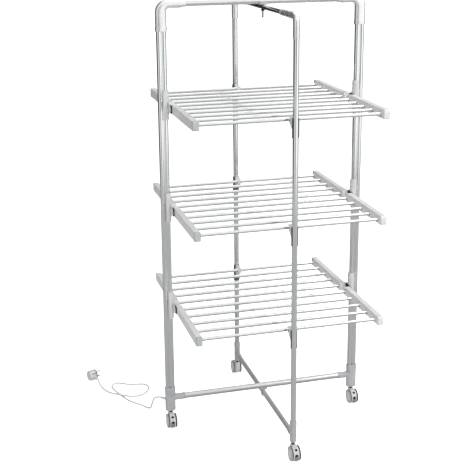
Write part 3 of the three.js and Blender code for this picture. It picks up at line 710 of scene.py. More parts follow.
@dataclass
class Studio:
    """The camera, the floor and the soft light of a product photograph."""

    place: Place = (-0.9914, -3.2174, 1.7203)
    yaw: float = 0.2711
    pitch: float = 0.2679
    roll: float = -0.0074
    lens: float = 79.26
    sensor: float = 36.0
    shift: float = -0.08
    sight: float = 40.0
    floor_half: float = 3.4
    floor_gap: float = 0.3 * MM
    floor_glow: float = 0.9
    floor_fade: Range = (2.6, 4.6)
    # The floor's grey in reflections near the airer: painted shade.
    floor_mirrored: str = "#c0c1c2"
    tent: str = "#f6f7f7"
    tent_light: float = 0.72
    tent_mirrored: float = 1.3
    flags: tuple[tuple[Range, Range, str], ...] = (
        ((-0.594, 0.804), (-0.45, 0.95), "#0c0c0d"),
        ((0.97, 0.26), (0.82, 0.97), "#3a3c3f"),
        ((-0.30, -0.95), (0.90, 0.985), "#5d5f61"),
    )
    lamp_aim: Place = (0.0, 0.0, 0.7)
    lamps: tuple[tuple[str, Place, float, float, bool], ...] = (
        ("key_softbox", (2.4, -2.0, 3.2), 2.0, 66, True),
        ("fill_softbox", (-3.0, -1.9, 2.0), 1.4, 28, False),
        ("top_softbox", (0.3, 1.2, 3.4), 2.6, 26, True),
    )

    def build(self) -> None:
        """Make the camera, the floor, the world and the lamps."""
        self.camera()
        self.floor()
        self.world()
        for name, place, size, power, mirrored in self.lamps:
            data = bpy.data.lights.new(name, "AREA")
            data.size = size
            data.energy = power
            made = link(name, data)
            made.visible_glossy = mirrored
            turn = (Vector(self.lamp_aim) - Vector(place)).to_track_quat("-Z", "Y").to_matrix()
            made.matrix_world = Matrix.Translation(place) @ turn.to_4x4()

    def camera(self) -> None:
        """Set up the camera that sees the airer as the photograph does."""
        level = Vector((math.sin(self.yaw), math.cos(self.yaw), 0))
        forward = level * math.cos(self.pitch) - Axis.Z.way * math.sin(self.pitch)
        right = Vector((level.y, -level.x, 0))
        rise = right.cross(forward)
        right, rise = (
            math.cos(self.roll) * right + math.sin(self.roll) * rise,
            math.cos(self.roll) * rise - math.sin(self.roll) * right,
        )
        data = bpy.data.cameras.new("camera")
        data.lens = self.lens
        data.sensor_width = self.sensor
        data.sensor_fit = "HORIZONTAL"
        data.shift_y = self.shift
        data.clip_end = self.sight
        made = link("camera", data)
        turn = Matrix((right, rise, -forward)).transposed()
        made.matrix_world = Matrix.Translation(self.place) @ turn.to_4x4()
        bpy.context.scene.camera = made

    def floor(self) -> None:
        """Lay a pale floor that the wheels shade a little, and that tubes mirror as grey near the airer:
        painted shade, seen only in reflections.
        """
        material = bpy.data.materials.new("floor_paper")
        material.use_nodes = True
        tree = material.node_tree
        patches = add(tree, "ShaderNodeMapRange", {0: Noise(400, 3).lay(tree), 1: 0.3, 2: 0.7})[0]
        tones = {0: patches, 6: linear("#f6f6f6"), 7: linear("#fbfbfb")}
        paper = add(tree, "ShaderNodeMix", tones, data_type="RGBA")[2]
        place = add(tree, "ShaderNodeTexCoord", {})["Object"]
        away = add(tree, "ShaderNodeVectorMath", {0: place}, operation="LENGTH")["Value"]
        start, stop = self.floor_fade
        near = add(tree, "ShaderNodeMapRange", {0: away, 1: start, 2: stop, 3: 1.0, 4: 0.0})[0]
        path = add(tree, "ShaderNodeLightPath", {})
        # Glossy rays near the airer see the floor grey: painted shade for the shade under the airer.
        glossy = {0: path["Is Glossy Ray"], 1: near}
        mirrored = add(tree, "ShaderNodeMath", glossy, operation="MULTIPLY")[0]
        tones = {0: mirrored, 6: paper, 7: linear(self.floor_mirrored)}
        base = add(tree, "ShaderNodeMix", tones, data_type="RGBA")[2]
        direct = {0: path["Is Camera Ray"], 1: path["Is Transmission Ray"]}
        seen = add(tree, "ShaderNodeMath", direct, operation="MAXIMUM")[0]
        glow = add(tree, "ShaderNodeMath", {0: seen, 1: self.floor_glow}, operation="MULTIPLY")[0]
        surface = tree.nodes["Principled BSDF"].inputs
        tree.links.new(base, surface["Base Color"])
        tree.links.new(glow, surface["Emission Strength"])
        surface["Emission Color"].default_value = WHITE
        surface["Roughness"].default_value = 0.9
        surface["Specular IOR Level"].default_value = 0.1
        half = self.floor_half
        mesh = bpy.data.meshes.new("floor")
        corners = [(-half, -half), (half, -half), (half, half), (-half, half)]
        mesh.from_pydata([(x, y, -self.floor_gap) for x, y in corners], [], [(0, 1, 2, 3)])
        mesh.materials.append(material)
        link("floor", mesh)

    def world(self) -> None:
        """Surround the airer with a white tent, and hang grey flags that draw lines on its tubes."""
        world = bpy.data.worlds.new("tent")
        world.use_nodes = True
        bpy.context.scene.world = world
        tree = world.node_tree
        way = add(tree, "ShaderNodeTexCoord", {})["Generated"]
        tent: object = linear(self.tent)
        for (x, y), (start, stop), colour in self.flags:
            facing = add(tree, "ShaderNodeVectorMath", {0: way, 1: (x, y, 0)}, operation="DOT_PRODUCT")
            edge = {0: facing["Value"], 1: start, 2: stop}
            share = add(tree, "ShaderNodeMapRange", edge, interpolation_type="SMOOTHSTEP")[0]
            flag = {0: share, 6: tent, 7: linear(colour)}
            tent = add(tree, "ShaderNodeMix", flag, data_type="RGBA")[2]
        path = add(tree, "ShaderNodeLightPath", {})
        direct = {0: path["Is Camera Ray"], 1: path["Is Transmission Ray"]}
        seen = add(tree, "ShaderNodeMath", direct, operation="MAXIMUM")[0]
        colour = add(tree, "ShaderNodeMix", {0: seen, 6: tent, 7: WHITE}, data_type="RGBA")[2]
        light = {0: path["Is Diffuse Ray"], 3: self.tent_mirrored, 4: self.tent_light}
        background = tree.nodes["Background"].inputs
        tree.links.new(colour, background["Color"])
        tree.links.new(add(tree, "ShaderNodeMapRange", light)[0], background["Strength"])


@dataclass
class MainsLead:
    """The white lead with its strain relief and its plug. Places are from the left leg."""

    shop: Workshop
    radius: float = 3.0
    mouth: float = 3.2
    height: float = 95.0
    relief_turn: float = 45.0
    relief_seat: float = 13.0
    relief_length: float = 27.0
    relief_radii: Range = (5.3, 4.2)
    relief_ribs: int = 5
    flange: float = 3.0
    flange_radius: float = 6.0
    plug_place: Place = (-213.0, 440.0, 19.26)
    plug_turn: float = 20.0
    plug_radius: float = 19.5
    plug_half: float = 15.0
    plug_corner: float = 5.0
    plug_reach: float = 42.0
    boss_radius: float = 6.0
    boss_ribs: int = 4
    boss_pitch: float = 4.6
    slot_tilt: float = 34.0
    slot_start: float = -9.0
    pin_length: float = 19.0
    pin_radius: float = 2.4
    pin_spacing: float = 19.0
    edge: float = 0.4
    joint: float = 0.3
    route: tuple[Place, ...] = (
        (-45, 48, 86), (-48, 70, 66), (-48, 96, 38), (-49, 120, 14), (-55, 143, 4), (-68, 165, 3.2),
        (-87, 189, 3.2), (-106, 214, 3.2), (-120, 244, 3.2), (-135, 284, 3.2), (-146, 320, 3.2),
        (-151, 345, 3.2), (-145, 367, 3.2), (-126, 376, 3.2), (-105, 365, 3.2), (-80, 349, 3.2),
        (-53, 345, 3.2), (-31, 337, 3.2), (-20, 319, 3.2), (-21, 298, 3.2), (-32, 276, 3.2),
        (-48, 257, 3.4), (-69, 245, 5), (-92, 240, 8), (-114, 246, 9.8), (-133, 262, 9.4),
        (-149, 280, 6.4), (-164, 300, 3.8), (-177, 324, 3.2), (-187, 350, 4.5), (-194, 375, 11),
    )

    def build(self) -> None:
        """Make the plug and the strain relief, then the lead between them."""
        self.leg = middle("leg_left").to_2d().to_3d()
        turn = math.radians(self.relief_turn)
        self.leave = Vector((-math.cos(turn), math.sin(turn), 0))
        self.root = self.leg + Vector((0, 0, self.height)) + self.leave * self.relief_seat
        turn = math.radians(self.plug_turn)
        self.plug_way = Vector((math.cos(turn), math.sin(turn), 0))
        self.entry = Vector((math.sin(turn), -math.cos(turn), 0))
        self.plug_middle = self.leg + Vector(self.plug_place)
        plug = self.plug()
        self.relief()
        self.lead()

    def lead(self) -> None:
        """Run the lead from the strain relief to the plug.
        """
        start = self.root + self.leave * (self.relief_length + self.joint)
        end = self.plug_middle + self.entry * (self.plug_reach + self.joint)
        run = [self.leg + Vector(place) for place in self.route]
        points = [start, start + self.leave * 2 * self.radius, *run]
        points += [end + self.entry * 2 * self.radius, end]
        data = bpy.data.curves.new("mains_lead", "CURVE")
        data.dimensions = "3D"
        data.bevel_depth = self.radius * MM
        data.bevel_resolution = 5
        data.use_fill_caps = True
        spline = data.splines.new("BEZIER")
        spline.resolution_u = 10
        spline.bezier_points.add(len(points) - 1)
        for knot, point in zip(spline.bezier_points, points):
            knot.co = point * MM
            knot.handle_left_type = knot.handle_right_type = "AUTO"
        data.materials.append(self.shop.palette.sheath)
        made = link("mains_lead", data)
        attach(made, "main_frame")
        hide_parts("cord")
        LOG.info("the lead is %.3f m long", spline.calc_length())

    def relief(self) -> None:
        """Make the strain relief: a flange and a ribbed, tapering sleeve."""
        wide, narrow = self.relief_radii
        flange, rim, edge, end = self.flange, self.flange_radius, self.edge, self.relief_length
        profile = [(0, rim - edge), (edge, rim), (flange - edge, rim), (flange, rim - edge)]
        profile += [(flange + 0.2, wide)]
        pitch = (end - flange) / self.relief_ribs
        for i in range(self.relief_ribs):
            radius = wide + (narrow - wide) * (i + 0.5) / self.relief_ribs
            place = flange + pitch * (i + 0.5)
            for share, less in ((-0.32, 0), (-0.22, 0.8), (0.22, 0.8), (0.32, 0)):
                profile.append((place + share * pitch, radius - less))
        profile += [(end - edge, narrow), (end, narrow - edge), (end, self.mouth), (end - 3, self.mouth)]
        form = Form()
        form.turned(self.root, self.leave, profile, self.shop.palette.sheath)
        self.shop.mount(form, "strain_relief", "main_frame", "cord_gland")

    def plug(self) -> Object:
        """Make the round plug with grip ribs, a boss for the lead and two plated pins.

        Returns:
            The plug.
        """
        palette = self.shop.palette
        form = Form()
        half, wide, corner, reach = self.plug_half, self.plug_radius, self.plug_corner, self.plug_reach
        profile = [(-half, wide - corner - 1)]
        profile += arc(-half + corner, wide - corner, corner, 180, 90, 8)
        profile += [
            (half - 1, wide), (half - 0.3, wide - 0.3), (half, wide - 1), (half, wide - 2.2),
            (half - 0.5, wide - 2.5), (half - 0.5, wide - 3.3), (half, wide - 3.6),
        ]
        form.turned(self.plug_middle, self.plug_way, profile, palette.plug, 64)
        boss = [(wide - 11.5, self.boss_radius), (wide, self.boss_radius)]
        for i in range(self.boss_ribs):
            start = wide + 2 + i * self.boss_pitch
            radius = self.boss_radius - 0.4 * (i + 1)
            boss += [(start, radius + 0.2), (start + 0.3, radius - 0.7)]
            boss += [(start + 1.5, radius - 0.7), (start + 1.8, radius + 0.1)]
        boss += [(reach - 0.4, 4.2), (reach, 3.8), (reach, self.mouth), (reach - 4, self.mouth)]
        form.turned(self.plug_middle, self.entry, boss, palette.plug)
        seam, deep = wide + 0.2, wide - 1
        band = [(half - 4.6, deep), (half - 4.6, seam), (half - 2, seam), (half - 2, deep)]
        form.turned(self.plug_middle, self.plug_way, band, palette.black, 64)
        tilt = math.radians(self.slot_tilt)
        slot = self.plug_middle + (self.entry * math.cos(tilt) + Axis.Z.way * math.sin(tilt)) * deep
        line = [(self.slot_start, 0.8), (self.slot_start + 0.6, 1.5), (half - 4, 1.5), (half - 3.4, 0.8)]
        form.turned(slot, self.plug_way, line, palette.black, 16)
        for side in (-1, 1):
            self.pin(form, self.plug_middle + Axis.Z.way * side * self.pin_spacing / 2)
        return self.shop.mount(form, "mains_plug", "main_frame", "plug")

    def pin(self, form: Form, root: Vector) -> None:
        """Add one pin of the plug: an insulated sleeve and a plated tip, whose dark metal is painted
        shade.

        Args:
            form: The plug's form.
            root: A point on the pin's axis, level with the plug's middle.
        """
        end, radius = self.plug_half + self.pin_length, self.pin_radius
        half_way, bare = self.plug_half + 0.5 * self.pin_length, radius - 0.3
        sleeve = [(self.plug_half - 4, radius), (half_way - 0.2, radius), (half_way, radius - 0.2)]
        form.turned(root, self.plug_way, sleeve, self.shop.palette.pocket, 28)
        # The tip's dark grey is painted shade on plated metal.
        tip = [(half_way - 2, bare), (end - radius, bare)]
        tip += arc(end - radius, 0, bare, 90, 15, 8)[1:]
        form.turned(root, self.plug_way, tip, self.shop.palette.pin, 28)


@dataclass(frozen=True)
class Station:
    """A cross-section of a moulding: where it is on the centre line, and its half widths."""

    along: float
    across: float
    deep: float
    power: float = 2.0

    def at(self, along: float, wider: float = 0.0, deeper: float | None = None) -> "Station":
        """Return a station like this one at another place.

        Args:
            along: Its place.
            wider: How much wider it is.
            deeper: How much deeper it is, or nothing for as much as it is wider.

        Returns:
            The station.
        """
        more = wider if deeper is None else deeper
        return Station(along, self.across + wider, self.deep + more, self.power)

    @property
    def upright(self) -> Ring:
        """The ring of the station on a centre line up the Z axis."""
        centre = Axis.Z.way * self.along
        return oval(centre, Axis.X.way, self.across, Axis.Y.way, self.deep, self.power)


@dataclass(frozen=True)
class Elbow:
    """An elbow's centre line: up a leg at the origin, round a corner and out towards +X."""

    drop: float
    reach: float
    radius: float
    steps: int = 16

    @property
    def turn_start(self) -> float:
        """Where the corner starts, from the lower mouth."""
        return self.drop - self.radius

    @property
    def turn_end(self) -> float:
        """Where the corner ends."""
        return self.turn_start + self.radius * math.pi / 2

    @property
    def length(self) -> float:
        """Where the far mouth is."""
        return self.turn_end + self.reach - self.radius

    def ring(self, station: Station) -> Ring:
        """Return the points round one station.

        Args:
            station: The station.

        Returns:
            Its ring.
        """
        angle = min(max((station.along - self.turn_start) / self.radius, 0), math.pi / 2)
        x = self.radius * (1 - math.cos(angle)) + max(station.along - self.turn_end, 0)
        z = self.radius * (math.sin(angle) - 1) + min(station.along - self.turn_start, 0)
        outward = Vector((-math.cos(angle), 0, math.sin(angle)))
        return oval(Vector((x, 0, z)), outward, station.across, Axis.Y.way, station.deep, station.power)

    def corner(self, first: Station, last: Station) -> list[Station]:
        """Return stations round the corner, easing from one cross-section to another.

        Args:
            first: The cross-section where the corner starts.
            last: The cross-section where it ends.

        Returns:
            The stations.
        """
        made = []
        for i in range(self.steps + 1):
            share = i / self.steps
            ease = share * share * (3 - 2 * share)
            along = self.turn_start + share * (self.turn_end - self.turn_start)
            pairs = zip(
                (first.across, first.deep, first.power), (last.across, last.deep, last.power)
            )
            made.append(Station(along, *(low + ease * (high - low) for low, high in pairs)))
        return made


@dataclass(frozen=True)
class Foot:
    """A foot moulding: a body round the leg, a band at its top and a spigot for the low rail."""

    top: float
    sleeve: Station
    bore: Station
    band: float
    reach: float
    rail: float
    bottom: float = 56.0
    proud: float = 0.6
    chamfer: float = 6.0
    inset: float = 3.0
    socket: float = 5.6
    recess: float = 6.0
    wall: float = 1.7
    slack: float = 0.2

    def draw(self, form: Form, height: float, finish: Material) -> None:
        """Add the foot to a form, with the leg's centre line through its origin.

        Args:
            form: The form.
            height: The rail's height.
            finish: The moulding.
        """
        low, high, recess, sleeve, bore = self.bottom, self.top, self.recess, self.sleeve, self.bore
        band, proud, less = high - self.band, self.proud, -self.inset
        socket = Station(low, self.socket, self.socket)
        stations = [
            socket.at(low + recess), socket, sleeve.at(low, less - 0.6), sleeve.at(low + 0.6, less),
            sleeve.at(low + 0.5 * self.chamfer, 0.35 * less), sleeve.at(low + self.chamfer),
            sleeve.at(band), sleeve.at(band + 0.4, proud), sleeve.at(high - 1.6, proud),
            sleeve.at(high - 0.5), sleeve.at(high, -0.8), bore.at(high), bore.at(high - recess),
        ]
        form.skin([station.upright for station in stations], finish)
        start, end = sleeve.across, sleeve.across + self.reach
        outer, mouth = self.rail + self.wall, self.rail + self.slack
        spigot = [
            (start - 8, outer), (start + 1.5, outer), (start + 2, outer - 0.3), (end - 5, outer - 0.6),
            (end - 4.6, outer), (end - 0.6, outer), (end, outer - 0.6), (end, mouth),
            (end - recess, mouth),
        ]
        form.turned(Axis.Z.way * height, Axis.X.way, spigot, finish)


@dataclass
class TubeFrame:
    """What both frames have in common."""

    shop: Workshop
    body: str = ""
    tube_wall: float = 1.5
    tube_recess: float = 8.0
    tube_edge: float = 0.25
    mouth: float = 6.0
    slack: float = 0.2

    def tube(self, node: str, axis: Axis, radius: float, finish: Material, name: str = "") -> None:
        """Make a round tube with open ends, as long as its node.

        Args:
            node: The node.
            axis: The axis along it.
            radius: Its radius.
            finish: Its material.
            name: The piece's name, where it isn't the node's with a word for the tube.
        """
        low, high = span(node)
        half, bore, edge = (high - low)[axis.value] / 2, radius - self.tube_wall, self.tube_edge
        profile = [(half - edge, radius), (half, radius - edge), (half, bore)]
        profile += [(half - self.tube_recess, bore)]
        profile = [(-u, v) for u, v in reversed(profile)] + profile
        form = Form()
        form.turned(middle(node), axis.way, profile, finish, 48)
        self.shop.mount(form, name or f"{node}_tube", self.body, node)

    def elbow(self, word: str, path: Elbow, stations: list[Station], place: Vector, turn: float) -> None:
        """Make a corner elbow.

        Args:
            word: The leg's name.
            path: The elbow's centre line.
            stations: Its cross-sections, from one mouth to the other.
            place: Where the leg's and the rail's centre lines meet.
            turn: The turn of the elbow about the leg.
        """
        form = Form()
        form.skin([path.ring(station) for station in stations], self.shop.palette.elbow)
        self.shop.mount(form, f"{word}_elbow", self.body, f"corner_elbow_{word}", place, turn)

    def foot(self, word: str, shape: Foot, height: float, place: Vector, turn: float) -> None:
        """Make a foot.

        Args:
            word: The leg's name.
            shape: The foot's sizes.
            height: The low rail's height.
            place: Where the leg's centre line meets the floor.
            turn: The turn of the foot about the leg.
        """
        form = Form()
        shape.draw(form, height, self.shop.palette.foot)
        self.shop.mount(form, f"{word}_foot", self.body, f"foot_{word}", place, turn)


@dataclass
class WideFrame(TubeFrame):
    """The wide frame along X: twin-tube legs, rails, corner elbows, feet and centre pivots."""

    body: str = "main_frame"
    lobe_radius: float = 8.5
    lobe_spacing: float = 15.0
    groove: float = 2.4
    sleeve: Station = Station(0, 17.7, 12.0, 2.6)
    arm: Station = Station(0, 14.0, 12.0, 2.6)
    bore: Station = Station(0, 16.4, 8.9, 3.0)
    rail_radius: float = 10.0
    path: Elbow = Elbow(86.0, 80.0, 27.0)
    collar: float = 14.0
    collar_proud: float = 0.9
    ring: float = 8.0
    ring_step: float = 1.3
    foot_top: float = 144.0
    foot_band: float = 20.0
    foot_reach: float = 34.0
    saddle_wall: float = 1.8
    saddle_floor: float = 2.6
    saddle_climb: float = 7.0
    saddle_half: float = 13.0
    saddle_corner: float = 3.0
    saddle_gap: float = 0.3
    knob_flutes: int = 12
    knob_grip: float = 5.7

    def build(self) -> None:
        """Make every piece of the wide frame."""
        palette = self.shop.palette
        top, low = middle("top_rail").z, middle("low_rail").z
        shape = Foot(
            self.foot_top, self.sleeve, self.bore, self.foot_band, self.foot_reach, self.rail_radius
        )
        for side in Side:
            x = middle(f"leg_{side.word}").x
            self.leg(side)
            self.elbow(side.word, self.path, self.stations(), Vector((x, 0, top)), side.turn)
            self.foot(side.word, shape, low, Vector((x, 0, 0)), side.turn)
        self.tube("top_rail", Axis.X, self.rail_radius, palette.top_rail)
        # The low rail's darker lacquer is painted shade.
        self.tube("low_rail", Axis.X, self.rail_radius, palette.low_rail)
        self.pivot("top", cross=14, tail=22)
        self.pivot("low", cross=17, tail=6)

    def leg(self, side: Side) -> None:
        """Make a leg of two tubes drawn as one, with a groove between its lobes.

        Args:
            side: The leg's side.
        """
        node = f"leg_{side.word}"
        low, high = span(node)
        x, y, _ = middle(node)
        half, radius = self.lobe_spacing / 2, self.lobe_radius
        opening = math.degrees(math.acos((self.groove / 2 - half) / radius))
        outline = arc(x + half, y, radius, -opening, opening, 40)
        outline += arc(x - half, y, radius, 180 - opening, 180 + opening, 40)
        form = Form()
        form.plate(Axis.Z, outline, low.z, high.z, self.shop.palette.leg, 0.3, 1)
        self.shop.mount(form, f"{side.word}_leg_tube", self.body, node, sharp=50)

    def stations(self) -> list[Station]:
        """Return the elbow's cross-sections, with a collar at the leg and steps at the rail.

        Returns:
            The stations, from the leg's mouth to the rail's.
        """
        low, arm, bore, proud, band = self.sleeve, self.arm, self.bore, self.collar_proud, self.collar
        step, end, ring = self.ring_step, self.path.length, self.ring
        rail = Station(0, self.rail_radius + self.slack, self.rail_radius + self.slack)
        return [
            bore.at(self.mouth), bore.at(0), low.at(0), low.at(0.3, 0.6), low.at(proud, proud),
            low.at(band, proud), low.at(band + 0.5, 0.6), low.at(band + proud),
            *self.path.corner(low, arm),
            arm.at(end - 2 * ring), arm.at(end - 2 * ring + 0.4, -step, -step / 2),
            arm.at(end - ring, -step, -step / 2), arm.at(end - ring + 0.4, -2 * step, -step),
            arm.at(end - 0.5, -2 * step, -step), arm.at(end, -2 * step - 0.5, -step - 0.25),
            rail.at(end), rail.at(end - self.mouth),
        ]

    def pivot(self, level: str, cross: float, tail: float) -> None:
        """Make a pivot: a saddle on the upper rail, a pin and a fluted knob under the lower rail.

        Args:
            level: Whether it is the top one or the low one.
            cross: The diameter of the rail below it.
            tail: How far the pin stands out under the knob.
        """
        palette = self.shop.palette
        upper, corner, gap = self.rail_radius, self.saddle_corner, self.saddle_gap
        base = -upper - self.saddle_floor
        inner = upper + gap
        outer = inner + self.saddle_wall
        rim = -upper + self.saddle_climb
        under = base + gap
        lip = math.degrees(math.asin(rim / inner))
        outline = [(-outer, rim)] + arc(-outer + corner, under + corner, corner, 180, 270, 6)
        outline += arc(outer - corner, under + corner, corner, 270, 360, 6)
        outline += [(outer, rim)] + arc(0, 0, inner, lip, -180 - lip, 24)
        form = Form()
        form.plate(Axis.X, outline, -self.saddle_half, self.saddle_half, palette.foot, 0.5)
        bottom = base - cross
        tip = bottom - 5 - tail
        pin = [(tip, 2.2), (tip + 0.8, 3.0), (under - 0.5, 3.0)]
        form.turned(ORIGIN, Axis.Z.way, pin, palette.screw, 32)
        top = bottom - gap
        knob = [(top - 5, 4.6), (top - 4.4, 5.8), (top - 0.8, 6.0), (top, 5.4)]
        form.turned(ORIGIN, Axis.Z.way, knob, palette.black, 32)
        flute = Form()
        rib = [(-4.3, 0.4), (-4, 0.8), (-0.8, 0.8), (-0.5, 0.4)]
        flute.turned(Axis.X.way * self.knob_grip, Axis.Z.way, rib, palette.black, 12)
        turn, count = TURN / self.knob_flutes, self.knob_flutes
        self.shop.copies.repeat(form, flute, palette.black, count, Axis.Z.way * top, turn=turn)
        place = Axis.Z.way * middle(f"{level}_rail").z
        self.shop.mount(form, f"{level}_pivot_saddle", self.body, f"{level}_pivot", place)


@dataclass
class NarrowFrame(TubeFrame):
    """The narrow frame along Y: single-tube legs, rails, elbows, feet and the bars' rests."""

    body: str = "cross_frame"
    leg_radius: float = 9.0
    top_rail_radius: float = 7.0
    low_rail_radius: float = 8.5
    path: Elbow = Elbow(66.0, 135.0, 16.0)
    elbow_radius: float = 10.8
    mouth_radius: float = 9.3
    collar: float = 12.0
    groove: float = 1.6
    ring: float = 8.0
    foot_radius: float = 10.7
    foot_top: float = 132.0
    foot_band: float = 18.0
    foot_reach: float = 20.0
    tiers: int = 3
    rest_above: float = 10.0
    rest_below: float = 50.0
    rest_gap: float = 0.3
    rest_wall: float = 1.8
    rest_mouth: float = 75.0
    hook_half: float = 7.0
    hook_out: float = 38.0
    hook_seat: float = 6.3
    hook_lip: float = 3.0
    seat_height: float = 0.5
    lip_height: float = 8.5

    def build(self) -> None:
        """Make every piece of the narrow frame."""
        palette = self.shop.palette
        top, low = middle("cross_top_rail").z, middle("cross_low_rail").z
        foot, leg = self.foot_radius, self.leg_radius + self.slack
        shape = Foot(
            self.foot_top, Station(0, foot, foot), Station(0, leg, leg), self.foot_band,
            self.foot_reach, self.low_rail_radius,
        )
        for end in End:
            node = f"leg_{end.word}"
            y = middle(node).y
            turn = -end.value * math.pi / 2
            self.tube(node, Axis.Z, self.leg_radius, palette.leg, f"{end.word}_leg_tube")
            self.elbow(end.word, self.path, self.stations(), Vector((0, y, top)), turn)
            self.foot(end.word, shape, low, Vector((0, y, 0)), turn)
            for tier in range(1, self.tiers + 1):
                self.rest(f"tier{tier}_{end.word}", y, turn)
        self.tube("cross_top_rail", Axis.Y, self.top_rail_radius, palette.cross_top_rail)
        # The cross low rail's darker lacquer is painted shade.
        self.tube("cross_low_rail", Axis.Y, self.low_rail_radius, palette.cross_low_rail)

    def stations(self) -> list[Station]:
        """Return the elbow's cross-sections, with a grooved collar and a ring at the arm's end.

        Returns:
            The stations, from the leg's mouth to the rail's.
        """
        wide, mouth, length, ring = self.elbow_radius, self.mouth_radius, self.path.length, self.ring
        leg, rail = self.leg_radius + self.slack, self.top_rail_radius + self.slack
        low, high = self.collar, self.collar + self.groove
        collar = [
            (self.mouth, leg), (0, leg), (0, wide - 0.7), (0.6, wide), (low, wide),
            (low + 0.4, wide - 0.5), (high - 0.4, wide - 0.5), (high, wide),
        ]
        end = [
            (length - ring, mouth), (length - ring + 0.4, mouth + 0.6), (length - 0.6, mouth + 0.6),
            (length, mouth), (length, rail), (length - self.mouth, rail),
        ]
        first, last = ([Station(at, r, r) for at, r in part] for part in (collar, end))
        return [*first, *self.path.corner(first[-1], first[-1]), *last]

    def rest(self, word: str, y: float, turn: float) -> None:
        """Make a rest: a snap-on collar and a hook that cups the outer bar of a wing.

        Args:
            word: The names of its tier and its end.
            y: The leg's place.
            turn: The turn of the end.
        """
        palette = self.shop.palette
        above, below, wall, mouth = self.rest_above, self.rest_below, self.rest_wall, self.rest_mouth
        inner, half = self.leg_radius + self.rest_gap, self.hook_half
        ring = arc(0, 0, inner + wall, mouth - 180, 180 - mouth, 40)
        ring += arc(0, 0, inner, 180 - mouth, mouth - 180, 40)
        form = Form()
        form.plate(Axis.Z, ring, -below, above, palette.collar, 0.4)
        out, seat, lip, low, tip = (
            self.hook_out, self.hook_seat, self.hook_lip, self.seat_height, self.lip_height
        )
        shell, root = seat + lip, inner + wall / 2
        hook = [(root, above), (out - shell, above), (out - seat, tip - lip)]
        hook += arc(out, low, seat, 180, 360, 20)
        hook += [(out + seat, tip), (out + shell, tip - lip)]
        hook += arc(out, low, shell, 0, -60, 10)
        hook += [(root, -below / 2 - seat)]
        form.plate(Axis.Y, hook, -half, half, palette.bracket, 0.8)
        liner = arc(out, low, seat + 0.4, 180, 360, 20) + arc(out, low, seat - 0.5, 360, 180, 20)
        half += 0.6
        form.plate(Axis.Y, liner, -half, half, palette.black, 0.2, 1)
        place = Vector((0, y, span(f"{word}_rest")[1].z - above))
        self.shop.mount(form, f"{word}_bar_rest", self.body, f"{word}_rest", place, turn)


